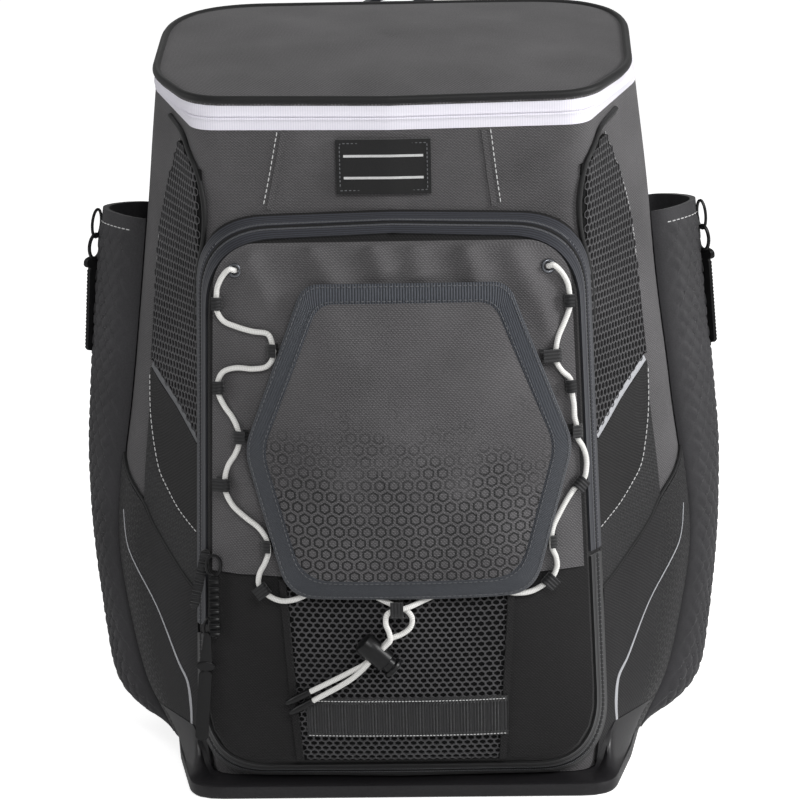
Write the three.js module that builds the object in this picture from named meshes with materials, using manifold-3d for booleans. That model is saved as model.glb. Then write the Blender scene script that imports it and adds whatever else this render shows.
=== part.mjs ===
// Backpack for a baseball player: body, lid, front pocket, helmet flap on bungee, two bat sleeves.
// Millimetres. +Z is up, the front faces -Y, +X is the viewer's right.
// The origin is the middle of the underside of the base.

import * as THREE from "three";
import { mergeVertices } from "three/addons/utils/BufferGeometryUtils.js";
import Module from "manifold-3d";

const wasm = await Module();
wasm.setup();

// Driving dimensions

const gap = 0.3; // clearance between pieces that touch
const seat = 0.9; // clearance under a sheet that lies on a curved cloth

const base = { height: 9, halfFront: 133, frontY: -104, halfSide: 147, sideY: -30, halfRear: 163, rearY: 98,
  chamfer: 3, frontRadius: 22, sideRadius: 60 };
const body = { height: 414, wall: 3, halfFront: 117, halfSide: 186, shoulderY: 20, frontY: -80, rearY: 103,
  frontRadius: 16, sideRadius: 75, rearRadius: 42, frontCrown: 7, rimSlope: 0.12, slopeStart: 0.75,
  floor: 3 };
const lid = { halfWidth: 149, halfFront: 122, frontY: -92, cornerBack: 6, rearY: 101, shoulderY: -35,
  frontRadius: 34, sideRadius: 70, rearRadius: 68, rise: 18, slope: 0.19, wall: 4, dome: 8, rollRadius: 2.6 };
const band = { thickness: 1.4, inset: 1.5, lowerEnd: 0.48, upperStart: 0.52, rearPlace: 3.1, hingeGap: 0.02 };
const pocket = { top: 374, cornerTop: 370, bottom: 10.5, halfTop: 120, halfBottom: 131, topRadius: 44,
  bottomRadius: 42, inset: 9, topSlope: 1.7, footSlope: 1.4, edgeY: -97, bulge: 26, crownPower: 2.5,
  wall: 2.5, seat: 1.8 };
const tape = { thickness: 1.1, seat: 0.6, from: 0.12, to: 0.88, split: 1.72, lowerStart: 1.78 };
const panel = { thickness: 1, seat: 0.8, seamZ: 150, margin: 3, corner: 26 };
const mesh = { thickness: 1, seat: 0.95, halfTop: 69, halfBottom: 62, top: 134, bottom: 29 };
const webbing = { low: 45, high: 71, left: -58, right: 67, thickness: 1.5 };
const sidePanel = { thickness: 1.3, barWidth: 4, seat: 1.2 };
const sleeve = { thickness: 3, front: 2.1, rear: 2.78, top: 347, bottom: 12, depth: 26, roundness: 0.7 };
const label = { x: -4, drop: 22.5, width: 58, height: 34, thickness: 1.2, seat: 0.6 };
const flap = { x: 8.5, top: 332, middle: 231, bottom: 138.5, halfTop: 61.5, halfMiddle: 98, halfBottom: 74,
  radius: 14, lift: 5.6, seat: 0.5, thickness: 2, arch: 7, sideTaper: 0.8, bindingWidth: 12,
  bindingThickness: 3 };
const cord = { diameter: 3.4, sides: 8, steps: 66 };
const loop = { radius: 2.7, thickness: 0.9, width: 8, lift: 5.6, doubleRadius: 4.6, doubleLift: 7.6,
  doubleZ: 132.2, bends: 6 };
const grommet = { x: 95, z: 340, outer: 4.6, inner: 2.3, height: 1.6, sides: 12 };
const lock = { x: -13, z: 104, lift: 9.4, radius: 7.2, bore: 5.2, back: 12, front: 8, endWall: 3,
  stem: 4.9, stemBack: 4.5, neck: 4.3, flangeRadius: 6.8, flangeThickness: 3, travel: 4,
  holeWidth: 4.6, holeHeight: 8, bevel: 1, sides: 16, turn: 0.757 };
const tip = { length: 18, radius: 2.4, endRadius: 1.8, straight: 0.6, sides: 10 };
const back = { halfWidth: 118, bottom: 30, top: 428, thickness: 10, radius: 34 };
const strap = { width: 62, thickness: 9, bow: 50 };
const strapWeb = { width: 25, thickness: 1.6, endX: 112, endZ: 42, startAside: 3, bend: 5, bow: 3 };
const buckle = { width: 33, height: 24, bar: 3.5, thickness: 5, aside: 1, tuck: 6, below: 4, webDrop: 6 };
const handle = { halfSpan: 45, top: 484, width: 25, thickness: 3, offset: 15, footShare: 0.35,
  archPower: 0.8 };
const pull = { thickness: 2.4, width: 9, forward: 0.05, drop: 2, sleeveLength: 88 };

const lidFrontZ = base.height + body.height + lid.rise;
const backFace = body.rearY + gap + back.thickness;

// The last place round half the body, the lid or the flap, and round half the pocket
const bodyEnd = 4;
const pocketEnd = 3;

// Steps across and along each sheet
const sheetSteps = { band: [2, 30], hinge: [2, 8], panel: [8, 10], mesh: [6, 8], webbing: [8, 2],
  sideMesh: [6, 6],
  sideWedge: [5, 4], sidePocket: [7, 6], sleeve: [7, 10], label: [4, 2], handle: [1, 12] };

// Tables of sections: heights and widths are shares of the named sizes

const bodyRows = [
  { z: 0.00, front: 1.00, frontY: 1.00, side: 0.800, sideY: -0.40, rear: 0.870, rearY: 0.95 },
  { z: 0.04, front: 1.01, frontY: 1.02, side: 0.845, sideY: -0.30, rear: 0.900, rearY: 0.98 },
  { z: 0.10, front: 1.02, frontY: 1.03, side: 0.912, sideY: -0.20, rear: 0.930, rearY: 1.00 },
  { z: 0.20, front: 1.02, frontY: 1.03, side: 0.966, sideY: -0.10, rear: 0.970, rearY: 1.00 },
  { z: 0.31, front: 1.02, frontY: 1.03, side: 1.000, sideY: 0.00, rear: 0.985, rearY: 1.00 },
  { z: 0.42, front: 1.01, frontY: 1.02, side: 0.985, sideY: 0.10, rear: 0.975, rearY: 1.00 },
  { z: 0.54, front: 1.00, frontY: 1.00, side: 0.945, sideY: 0.25, rear: 0.945, rearY: 1.00 },
  { z: 0.75, front: 1.00, frontY: 1.00, side: 0.890, sideY: 0.75, rear: 0.895, rearY: 1.00 },
  { z: 0.91, front: 1.00, frontY: 1.00, side: 0.850, sideY: 1.00, rear: 0.850, rearY: 1.00 },
  { z: 1.00, front: 1.02, frontY: 1.03, side: 0.825, sideY: 1.00, rear: 0.825, rearY: 1.00 },
];

// Side seams: across is the place round the body (1 front corner, 2 shoulder), high is a share of its height
const barLine = [
  { across: 1.12, high: 0.524 }, { across: 1.37, high: 0.575 }, { across: 1.74, high: 0.620 },
];
const meshTop = [
  { across: 1.12, high: 0.952 }, { across: 1.18, high: 0.962 }, { across: 1.32, high: 0.966 },
  { across: 1.45, high: 0.932 }, { across: 1.57, high: 0.890 }, { across: 1.67, high: 0.830 },
  { across: 1.74, high: 0.700 },
];
const wedgeSeam = [
  { across: 1.12, high: 0.381 }, { across: 1.30, high: 0.410 }, { across: 1.43, high: 0.432 },
  { across: 1.53, high: 0.456 }, { across: 1.62, high: 0.500 }, { across: 1.72, high: 0.590 },
];
const pocketSeam = [
  { across: 1.20, high: 0.307 }, { across: 1.30, high: 0.322 }, { across: 1.41, high: 0.340 },
  { across: 1.60, high: 0.372 }, { across: 1.71, high: 0.400 }, { across: 1.94, high: 0.432 },
  { across: 2.04, high: 0.442 },
];
const pocketFoot = [{ across: 1.20, high: 0.012 }, { across: 2.04, high: 0.012 }];

// How far a sleeve stands off the body, as a share of its depth
const sleeveRows = [
  { high: 0.00, depth: 0.04 }, { high: 0.04, depth: 0.42 }, { high: 0.10, depth: 0.74 },
  { high: 0.20, depth: 0.66 }, { high: 0.27, depth: 0.60 }, { high: 0.38, depth: 0.60 },
  { high: 0.60, depth: 0.87 }, { high: 0.83, depth: 0.97 }, { high: 1.00, depth: 1.00 },
];

// Bungee cord: x and z on the pocket's face, lift is the height of its centre above that face
const bungeeLeftRoute = [
  [-95, 340, 2.2], [-95.1, 340.2, 4.6], [-97, 341, 7], [-101, 337.5, 6], [-105, 330, 4.8], [-105.5, 324, 5.2],
  [-105.5, 316, 5.2], [-102, 309.5, 4.6], [-94, 306, 4.4], [-84, 303.5, 4.4], [-74.4, 302, 4.8],
  [-72, 296.5, 5.2], [-71.5, 288.5, 5.2], [-75.5, 282.5, 4.6], [-84, 280.5, 4.4], [-95, 280.5, 4.4],
  [-102.5, 277.5, 4.8], [-105.5, 272, 5.2], [-105.5, 264, 5.2], [-102.5, 256.5, 4.6], [-97.5, 249.5, 4.6],
  [-94, 242, 5.2], [-93.5, 234, 5.2], [-96.5, 226.5, 4.6], [-101, 219, 4.6], [-103, 211, 5.2],
  [-103, 203, 5.2], [-99, 194, 4.6], [-91, 187, 4.6], [-83, 181, 4.6], [-78.5, 174.5, 5.2],
  [-77.5, 166.5, 5.2], [-80, 159, 4.6], [-83.5, 152, 4.8], [-84, 145, 5.2], [-78.5, 138.5, 5.2],
  [-71, 135, 3.8], [-63, 136, 3.1], [-55, 139.5, 3], [-45, 142, 3], [-31, 142.5, 3],
  [-17, 140.5, 3], [-7, 136, 4.3], [0, 132.8, 5.1], [6, 130.2, 5.1], [9, 125.5, 5.2], [8, 120, 5.6],
  [3, 115.8, 6.4], [-4.4, 112.9, 7.4], [-8, 109.3, 7.45], [-13, 104, 7.45], [-18, 98.7, 7.45],
  [-22, 95.4, 7.3], [-29, 91.3, 6.9], [-38, 86.2, 6.6], [-46.5, 81.6, 6.6], [-54.5, 77.2, 6.6],
];
const bungeeRightRoute = [
  [95, 340, 2.2], [95.1, 340.2, 4.6], [97, 341, 7], [101.5, 337, 6], [105.5, 330, 4.8], [106.5, 323, 5.2],
  [106.5, 315, 5.2],
  [103.5, 306, 4.6], [99.5, 297, 4.6], [97.8, 290, 5.2], [97.8, 282, 5.2], [101, 276, 4.8],
  [106, 270, 5.2], [106.8, 262, 5.2], [108, 254, 5], [108.3, 246, 5], [109.2, 241.5, 5.2],
  [109.6, 233.5, 5.2], [113, 227, 5], [117.5, 220, 5], [117.5, 212.5, 5], [113.5, 206.5, 5.2],
  [108, 201.5, 5.2], [103.5, 195, 4.8], [99, 187, 4.6], [95.2, 179.5, 4.8], [93.8, 174, 5.2],
  [93.8, 166, 5.2], [96.3, 159.5, 4.8], [97, 153.5, 4.8], [94.4, 147.4, 5.2], [89, 142.6, 4.9],
  [81.5, 138.6, 3.8], [73, 138, 3.1], [63, 140.5, 3], [51, 142, 3], [38, 142, 3], [27, 140.5, 3],
  [17, 136.6, 3.4], [10, 134.2, 6.6], [4.5, 132.8, 8.6], [-1, 132, 9], [-6, 129.5, 9.3],
  [-7, 123.5, 9.6], [-5, 117.8, 10.2], [-4.6, 113.1, 11.2], [-8, 109.3, 11.35], [-13, 104, 11.35],
  [-18, 98.7, 11.35], [-21.6, 94.4, 10.9], [-28.5, 87.6, 9.4], [-37, 81.2, 7.6], [-45.5, 75.9, 7],
  [-53, 71.3, 6.8],
];

// Webbing loops. Each stands on the cord's chosen route, so its place is chosen with the route:
// x and z on the face, the way the cord runs there and the way the legs point
const sideLoops = [
  { name: "side_loop_l1", x: -105.5, z: 320, run: [0, 1], legs: [-1, 0], leg: 2 },
  { name: "side_loop_l2", x: -105.5, z: 268, run: [0, 1], legs: [-1, 0], leg: 2 },
  { name: "side_loop_l3", x: -103, z: 207, run: [0, 1], legs: [-1, 0], leg: 7 },
  { name: "side_loop_l4", x: -81.3, z: 141.7, run: [0.64, -0.77], legs: [-0.77, -0.64], leg: 5 },
  { name: "side_loop_r1", x: 106.5, z: 319, run: [0, 1], legs: [1, 0], leg: 2 },
  { name: "side_loop_r2", x: 106.4, z: 266, run: [-0.1, 1], legs: [1, 0.1], leg: 2 },
  { name: "side_loop_r3", x: 110.8, z: 204, run: [0.74, 0.67], legs: [0.67, -0.74], leg: 4 },
  { name: "side_loop_r4", x: 91.8, z: 145, run: [0.74, 0.67], legs: [0.67, -0.74], leg: 5 },
];
const flapLoops = [
  { name: "flap_loop_l1", x: -71.7, z: 292.5, run: [0, 1], legs: [1, 0] },
  { name: "flap_loop_l2", x: -93.7, z: 238, run: [0, 1], legs: [1, 0] },
  { name: "flap_loop_l3", x: -78, z: 170.5, run: [0, 1], legs: [1, 0] },
  { name: "flap_loop_r1", x: 97.8, z: 286, run: [0, 1], legs: [-1, 0] },
  { name: "flap_loop_r2", x: 109.4, z: 237.5, run: [0, 1], legs: [-1, 0] },
  { name: "flap_loop_r3", x: 93.8, z: 170, run: [0, 1], legs: [-1, 0] },
];

// Shoulder strap, right side: across is a share of the back panel's half width, behind of the strap's bow,
// high of the back panel's height and wide of the strap's width
const strapRows = [
  { across: 0.390, behind: 0.00, high: 0.971, wide: 1.00 },
  { across: 0.390, behind: 0.32, high: 0.966, wide: 1.00 },
  { across: 0.458, behind: 0.68, high: 0.925, wide: 1.00 },
  { across: 0.525, behind: 0.90, high: 0.804, wide: 1.00 },
  { across: 0.610, behind: 1.00, high: 0.641, wide: 0.97 },
  { across: 0.695, behind: 0.92, high: 0.477, wide: 0.90 },
  { across: 0.771, behind: 0.64, high: 0.352, wide: 0.82 },
  { across: 0.822, behind: 0.28, high: 0.276, wide: 0.78 },
];

// The lid's section, from the dome over the rolled edge and back under it: scale is a share of the
// outline, inset and high are shares of the roll's radius
const domeShares = [0.4, 0.8];
const rollRows = [
  { inset: 1.5, high: 0.4 }, { inset: 0.5, high: 0.7 }, { inset: 0, high: 0 }, { inset: 0.5, high: -0.7 },
  { inset: 1.5, high: -1 },
];

// How far the pocket's face rings and the flap's rings reach, as shares of their outline
const pocketShares = [1, 0.96, 0.85, 0.65, 0.35];
const flapShares = [0.35, 0.7, 1];

// Zipper pulls: at is a share of the length, half a share of half the pull's width
const shortPull = [
  { at: 0, half: 0.5 }, { at: 0.1, half: 0.6 }, { at: 0.16, half: 0.5 }, { at: 1, half: 0.45 },
];
const ringPull = [
  { at: 0, half: 0.7 }, { at: 0.12, half: 0.9 }, { at: 0.3, half: 0.6 }, { at: 0.34, half: 0.4 },
  { at: 1, half: 0.45 },
];
const longPull = [
  { at: 0, half: 0.3 }, { at: 0.12, half: 0.45 }, { at: 0.3, half: 0.75 }, { at: 0.36, half: 0.8 },
  { at: 0.37, half: 1.25 }, { at: 0.43, half: 1.25 }, { at: 0.44, half: 0.9 }, { at: 1, half: 0.9 },
];
const sleevePull = [
  { at: 0, half: 0.6 }, { at: 0.16, half: 0.5 }, { at: 0.18, half: 0.4 }, { at: 0.26, half: 0.4 },
  { at: 0.28, half: 0.8 }, { at: 0.33, half: 0.8 }, { at: 0.34, half: 0.6 }, { at: 1, half: 0.6 },
];

// Pulls of the pocket's sliders: from and to are x and z, y is the depth of their rear face
const frontPulls = [
  { name: "front_pull_short", rows: shortPull, from: [-119.3, 163], to: [-128.3, 125], y: -97.7,
    finish: "black" },
  { name: "front_pull_ring", rows: ringPull, from: [-114.5, 160], to: [-115, 107], y: -103,
    finish: "plastic" },
  { name: "front_pull_long", rows: longPull, from: [-119, 119], to: [-126, 39], y: -100.3,
    finish: "plastic" },
];

// Colours of the cloths, plastics and metal
const finishes = {
  charcoal: { color: "#4b4947", roughness: 0.85 },
  black: { color: "#262627", roughness: 0.85 },
  white: { color: "#e6e4ea", roughness: 0.7 },
  graphite: { color: "#3a3d45", roughness: 0.85 },
  binding: { color: "#454a52", roughness: 0.85 },
  neoprene: { color: "#3c3c3f", roughness: 0.7 },
  base: { color: "#3b3b3c", roughness: 0.6 },
  cord: { color: "#e4e4e2", roughness: 0.6 },
  plastic: { color: "#1b1b1c", roughness: 0.4 },
  metal: { color: "#6d6e72", roughness: 0.35, metalness: 1 },
};

// Mesh helpers

const group = new THREE.Group();

function addPiece(name, geometry, finish) {
  const piece = new THREE.Mesh(geometry, new THREE.MeshStandardMaterial(finishes[finish]));
  piece.name = name;
  group.add(piece);
}

function geometryFrom(triangles) {
  let volume = 0;
  for (const [a, b, c] of triangles) {
    volume += a.dot(new THREE.Vector3().crossVectors(b, c));
  }
  const flat = [];
  for (const [a, b, c] of triangles) {
    const corners = volume < 0 ? [a, c, b] : [a, b, c];
    for (const corner of corners) flat.push(corner.x, corner.y, corner.z);
  }
  const geometry = new THREE.BufferGeometry();
  geometry.setAttribute("position", new THREE.Float32BufferAttribute(flat, 3));
  return mergeVertices(geometry, 1e-4);
}

// Two triangles over four corners, split along the shorter diagonal
function quad(a, b, c, d) {
  if (a.distanceToSquared(c) <= b.distanceToSquared(d) + 1e-6) return [[a, b, c], [a, c, d]];
  return [[a, b, d], [b, c, d]];
}

function centreOf(points) {
  const centre = new THREE.Vector3();
  for (const point of points) centre.add(point);
  return centre.divideScalar(points.length);
}

// A closed body through loops of equal length, with a fan over its first and last loop
function solidThroughLoops(loops) {
  const triangles = [];
  const count = loops[0].length;
  for (let row = 0; row + 1 < loops.length; row += 1) {
    for (let i = 0; i < count; i += 1) {
      const next = (i + 1) % count;
      const [a, b] = [loops[row][i], loops[row][next]];
      const [c, d] = [loops[row + 1][next], loops[row + 1][i]];
      triangles.push(...quad(a, b, c, d));
    }
  }
  const ends = [[loops[0], true], [loops[loops.length - 1], false]];
  for (const [end, first] of ends) {
    const centre = centreOf(end);
    for (let i = 0; i < count; i += 1) {
      const next = (i + 1) % count;
      triangles.push(first ? [centre, end[next], end[i]] : [centre, end[i], end[next]]);
    }
  }
  return geometryFrom(triangles);
}

// A sheet with thickness: place(u, v, side) gives the outer face at side 1 and the inner face at side 0
function sheetSolid(across, along, place) {
  const loops = [];
  for (let row = 0; row <= along; row += 1) {
    const points = [];
    for (let i = 0; i <= across; i += 1) points.push(place(i / across, row / along, 1));
    for (let i = across; i >= 0; i -= 1) points.push(place(i / across, row / along, 0));
    loops.push(points);
  }
  const triangles = [];
  const count = loops[0].length;
  for (let row = 0; row < along; row += 1) {
    for (let i = 0; i < count; i += 1) {
      const next = (i + 1) % count;
      const [a, b] = [loops[row][i], loops[row][next]];
      const [c, d] = [loops[row + 1][next], loops[row + 1][i]];
      triangles.push(...quad(a, b, c, d));
    }
  }
  for (const [points, first] of [[loops[0], true], [loops[along], false]]) {
    for (let i = 0; i < across; i += 1) {
      const [a, b, c, d] = [points[i], points[i + 1], points[count - 2 - i], points[count - 1 - i]];
      triangles.push(first ? [a, c, b] : [a, b, c], first ? [a, d, c] : [a, c, d]);
    }
  }
  return geometryFrom(triangles);
}

function tableValue(rows, key, value, at) {
  if (at <= rows[0][key]) return rows[0][value];
  for (let i = 1; i < rows.length; i += 1) {
    const [low, high] = [rows[i - 1], rows[i]];
    if (at <= high[key]) {
      return low[value] + (high[value] - low[value]) * (at - low[key]) / (high[key] - low[key]);
    }
  }
  return rows[rows.length - 1][value];
}

// Half of a closed outline: rounded corners, walked by a number that is whole at each corner
const cornerSteps = 12;
function roundedHalf(corners, radii) {
  const points = [corners[0].clone()];
  const corner = [0];
  for (let k = 1; k + 1 < corners.length; k += 1) {
    const before = corners[k - 1].clone().sub(corners[k]);
    const after = corners[k + 1].clone().sub(corners[k]);
    const [lengthBefore, lengthAfter] = [before.length(), after.length()];
    before.normalize();
    after.normalize();
    const angle = Math.acos(THREE.MathUtils.clamp(before.dot(after), -1, 1));
    const most = 0.46 * Math.min(lengthBefore, lengthAfter);
    const cut = Math.min(radii[k - 1] / Math.tan(angle / 2), most);
    const start = corners[k].clone().addScaledVector(before, cut);
    const finish = corners[k].clone().addScaledVector(after, cut);
    for (let i = 0; i <= cornerSteps; i += 1) {
      const t = i / cornerSteps;
      const point = start.clone().multiplyScalar((1 - t) ** 2);
      point.addScaledVector(corners[k], 2 * t * (1 - t)).addScaledVector(finish, t * t);
      if (i === cornerSteps / 2) corner.push(points.length);
      points.push(point);
    }
  }
  corner.push(points.length);
  points.push(corners[corners.length - 1].clone());
  return { points, corner };
}

function walker({ points, corner }) {
  const length = [0];
  for (let i = 1; i < points.length; i += 1) {
    length.push(length[i - 1] + points[i].distanceTo(points[i - 1]));
  }
  return (place) => {
    const at = Math.min(Math.abs(place), corner.length - 1 - 1e-9);
    const k = Math.floor(at);
    const want = length[corner[k]] + (length[corner[k + 1]] - length[corner[k]]) * (at - k);
    let i = 1;
    while (length[i] < want && i < points.length - 1) i += 1;
    const t = (want - length[i - 1]) / Math.max(length[i] - length[i - 1], 1e-9);
    const point = points[i - 1].clone().lerp(points[i], THREE.MathUtils.clamp(t, 0, 1));
    point.x *= Math.sign(place) || 0;
    return point;
  };
}

function closedLoop(walk, places, last) {
  const right = places.map((place) => walk(place));
  const left = places.filter((place) => place > 0 && place < last).reverse().map((place) => walk(-place));
  return [...right, ...left];
}

// Body surface

const bodyWalkers = new Map();
function bodyWalker(z, inset) {
  const key = `${z.toFixed(3)} ${inset}`;
  if (!bodyWalkers.has(key)) {
    const share = (z - base.height) / body.height;
    const value = (name) => tableValue(bodyRows, "z", name, share);
    const frontY = body.frontY * value("frontY");
    const halfFront = body.halfFront * value("front");
    const corners = [
      new THREE.Vector2(0, frontY + inset),
      new THREE.Vector2(halfFront - inset, frontY + inset),
      new THREE.Vector2(body.halfSide * value("side") - inset, body.shoulderY * value("sideY")),
      new THREE.Vector2(body.halfSide * value("rear") - inset, body.rearY * value("rearY") - inset),
      new THREE.Vector2(0, body.rearY * value("rearY") - inset),
    ];
    const outline = roundedHalf(corners, [body.frontRadius, body.sideRadius, body.rearRadius]);
    for (const point of outline.points) {
      if (point.y < frontY * 0.6) {
        point.y -= body.frontCrown * Math.max(0, 1 - (point.x / halfFront) ** 2);
      }
    }
    bodyWalkers.set(key, walker(outline));
  }
  return bodyWalkers.get(key);
}

function rimLift(z, y) {
  const share = (z - base.height) / body.height;
  const up = Math.max(0, (share - body.slopeStart) / (1 - body.slopeStart));
  return body.rimSlope * up * (y - body.frontY + body.frontCrown);
}

function bodyPoint(place, z, inset = 0) {
  const flat = bodyWalker(z, inset)(place);
  return new THREE.Vector3(flat.x, flat.y, z + rimLift(z, flat.y));
}

function onBody(place, z, lift) {
  const [dPlace, dz] = [0.02, 2];
  const along = bodyPoint(place + dPlace, z).sub(bodyPoint(place - dPlace, z));
  const up = bodyPoint(place, Math.min(z + dz, base.height + body.height))
    .sub(bodyPoint(place, Math.max(z - dz, base.height)));
  const normal = along.cross(up).normalize();
  return bodyPoint(place, z).addScaledVector(normal, lift);
}

function bodyFrontY(x, z) {
  let [low, high] = [0, 2];
  for (let i = 0; i < 24; i += 1) {
    const middle = (low + high) / 2;
    if (bodyPoint(middle, z).x < Math.abs(x)) low = middle;
    else high = middle;
  }
  return bodyPoint((low + high) / 2, z).y;
}

const bodyPlaces = [0, 0.5, 0.8, 0.93, 1, 1.07, 1.25, 1.5, 1.75, 2, 2.25, 2.5, 2.75, 2.9, 3, 3.1, 3.3, 3.65, 4];

function mainBody() {
  const rows = bodyRows.map((row) => base.height + gap + (body.height - gap) * row.z);
  const outer = rows.map((z) => closedLoop((place) => bodyPoint(place, z), bodyPlaces, bodyEnd));
  const inside = rows.map((z, i) => (i === 0 ? z + body.floor : z));
  const inner = inside.map((z) => closedLoop((place) => bodyPoint(place, z, body.wall), bodyPlaces, bodyEnd));
  return solidThroughLoops([...outer, ...inner.reverse()]);
}

// Lid and zipper band

function lidOutline(z, inset) {
  const corners = [
    new THREE.Vector2(0, lid.frontY + inset),
    new THREE.Vector2(lid.halfFront - inset, lid.frontY + lid.cornerBack + inset),
    new THREE.Vector2(lid.halfWidth - inset, lid.shoulderY),
    new THREE.Vector2(lid.halfWidth - inset, lid.rearY - inset),
    new THREE.Vector2(0, lid.rearY - inset),
  ];
  const walk = walker(roundedHalf(corners, [lid.frontRadius, lid.sideRadius, lid.rearRadius]));
  return (place) => {
    const flat = walk(place);
    return new THREE.Vector3(flat.x, flat.y, lidFrontZ + lid.slope * (flat.y - lid.frontY) + z);
  };
}

function topLid() {
  const centre = new THREE.Vector3(0, (lid.frontY + lid.rearY) / 2, 0);
  centre.z = lidFrontZ + lid.slope * (centre.y - lid.frontY);
  const ring = (share, z, inset = 0) => {
    const loopPoints = closedLoop(lidOutline(z, inset), bodyPlaces, bodyEnd);
    return loopPoints.map((point) => {
      const moved = point.clone();
      moved.x = centre.x + (point.x - centre.x) * share;
      moved.y = centre.y + (point.y - centre.y) * share;
      moved.z = lidFrontZ + lid.slope * (moved.y - lid.frontY) + z;
      return moved;
    });
  };
  const dome = (share) => ring(share, lid.dome * (1 - share ** 2));
  const underside = (share) => ring(share, lid.dome * (1 - share ** 2) - lid.wall);
  const edge = rollRows.map((row) => ring(1, lid.rollRadius * row.high, lid.rollRadius * row.inset));
  return solidThroughLoops([...domeShares.map(dome), ...edge, ...domeShares.map(underside).reverse()]);
}

// The band runs from the body's rim up to the lid: share 0 is the rim, 1 the lid
function bandPoint(place, share, side) {
  const low = bodyPoint(place, base.height + body.height, side ? 0 : band.thickness);
  const high = lidOutline(-lid.rollRadius - gap, band.inset + (side ? 0 : band.thickness))(place);
  low.z += gap;
  return low.lerp(high, share);
}

function bandPiece(from, to) {
  return sheetSolid(...sheetSteps.band, (u, v, side) => {
    const place = (v * 2 - 1) * band.rearPlace;
    return bandPoint(place || 1e-6, from + (to - from) * u, side);
  });
}

function lidHinge() {
  const start = band.rearPlace + band.hingeGap;
  const finish = 2 * bodyEnd - start;
  return sheetSolid(...sheetSteps.hinge, (u, v, side) => {
    const place = start + (finish - start) * v;
    const wrapped = place > bodyEnd ? place - 2 * bodyEnd : place;
    return bandPoint(wrapped, u, side);
  });
}

// Front pocket

function pocketWalker(inset) {
  const corners = [
    new THREE.Vector2(0, pocket.top - inset * pocket.topSlope),
    new THREE.Vector2(pocket.halfTop - inset, pocket.cornerTop - inset * pocket.topSlope),
    new THREE.Vector2(pocket.halfBottom - inset, pocket.bottom + inset * pocket.footSlope),
    new THREE.Vector2(0, pocket.bottom + inset * pocket.footSlope),
  ];
  return walker(roundedHalf(corners, [pocket.topRadius, pocket.bottomRadius]));
}

const faceBottom = pocket.bottom + pocket.inset * pocket.footSlope;
const faceTop = pocket.top - pocket.inset * pocket.topSlope;

// The crowned face of the pocket, as a depth for each x and z
function faceY(x, z) {
  const up = THREE.MathUtils.clamp((z - faceBottom) / (faceTop - faceBottom), 0, 1);
  const half = pocket.halfBottom + (pocket.halfTop - pocket.halfBottom) * up - pocket.inset;
  const across = THREE.MathUtils.clamp(Math.abs(x) / half, 0, 1);
  return pocket.edgeY - pocket.bulge * Math.sqrt(4 * up * (1 - up)) * (1 - across ** pocket.crownPower);
}

function faceNormal(x, z) {
  const step = 1.5;
  const slopeX = (faceY(x + step, z) - faceY(x - step, z)) / (2 * step);
  const slopeZ = (faceY(x, z + step) - faceY(x, z - step)) / (2 * step);
  return new THREE.Vector3(slopeX, -1, slopeZ).normalize();
}

function onFace(x, z, lift) {
  return new THREE.Vector3(x, faceY(x, z), z).addScaledVector(faceNormal(x, z), lift);
}

const pocketPlaces = [0, 0.3, 0.55, 0.72, 0.83, 0.92, 1, 1.06, 1.13, 1.3, 1.6, 1.85, 1.95, 2, 2.05, 2.2, 2.6, 3];

function pocketBackLoop(inset, lift) {
  return closedLoop((place) => {
    const flat = pocketWalker(inset)(place);
    const z = Math.max(flat.y, base.height + 2 * gap);
    return new THREE.Vector3(flat.x, bodyFrontY(flat.x, z) - lift, z);
  }, pocketPlaces, pocketEnd);
}

function pocketFaceLoop(share, lift, inset) {
  const middle = (faceBottom + faceTop) / 2;
  return closedLoop((place) => {
    const flat = pocketWalker(inset)(place);
    const [x, z] = [flat.x * share, middle + (flat.y - middle) * share];
    return new THREE.Vector3(x, faceY(x, z) + lift, z);
  }, pocketPlaces, pocketEnd);
}

function frontPocket() {
  const outer = pocketShares.map((share) => pocketFaceLoop(share, 0, pocket.inset));
  const inner = pocketShares.map((share) => pocketFaceLoop(share, pocket.wall, pocket.inset + pocket.wall));
  return solidThroughLoops([
    ...inner.reverse(), pocketBackLoop(pocket.wall, pocket.seat), pocketBackLoop(0, pocket.seat), ...outer,
  ].reverse());
}

// Sloping side of the pocket, where the zipper tapes lie: share 0 at the body, 1 at the face
function gussetPoint(place, share, lift) {
  const at = (p, s) => {
    const [low, high] = [pocketWalker(0)(p), pocketWalker(pocket.inset)(p)];
    const start = new THREE.Vector3(low.x, bodyFrontY(low.x, low.y) - pocket.seat, low.y);
    return start.lerp(new THREE.Vector3(high.x, faceY(high.x, high.y), high.y), s);
  };
  const along = at(place + 0.02, share).sub(at(place - 0.02, share));
  const across = at(place, Math.min(share + 0.1, 1)).sub(at(place, Math.max(share - 0.1, 0)));
  const normal = across.cross(along).normalize();
  if (normal.y > 0) normal.negate();
  return at(place, share).addScaledVector(normal, lift);
}

function zipperTape(start, finish) {
  const marks = [...pocketPlaces, ...pocketPlaces.map((place) => 2 * pocketEnd - place)];
  const mirrored = [...marks.map((place) => -place), ...marks];
  const both = mirrored.filter((place) => place > start && place < finish);
  const places = [start, ...new Set(both.sort((one, two) => one - two)), finish];
  return sheetSolid(1, places.length - 1, (u, v, side) => {
    const place = places[Math.round(v * (places.length - 1))];
    const wrapped = Math.abs(place) > pocketEnd ? place - 2 * pocketEnd * Math.sign(place) : place;
    const share = tape.from + (tape.to - tape.from) * u;
    return gussetPoint(wrapped || 1e-6, share, tape.seat + side * tape.thickness);
  });
}

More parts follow.
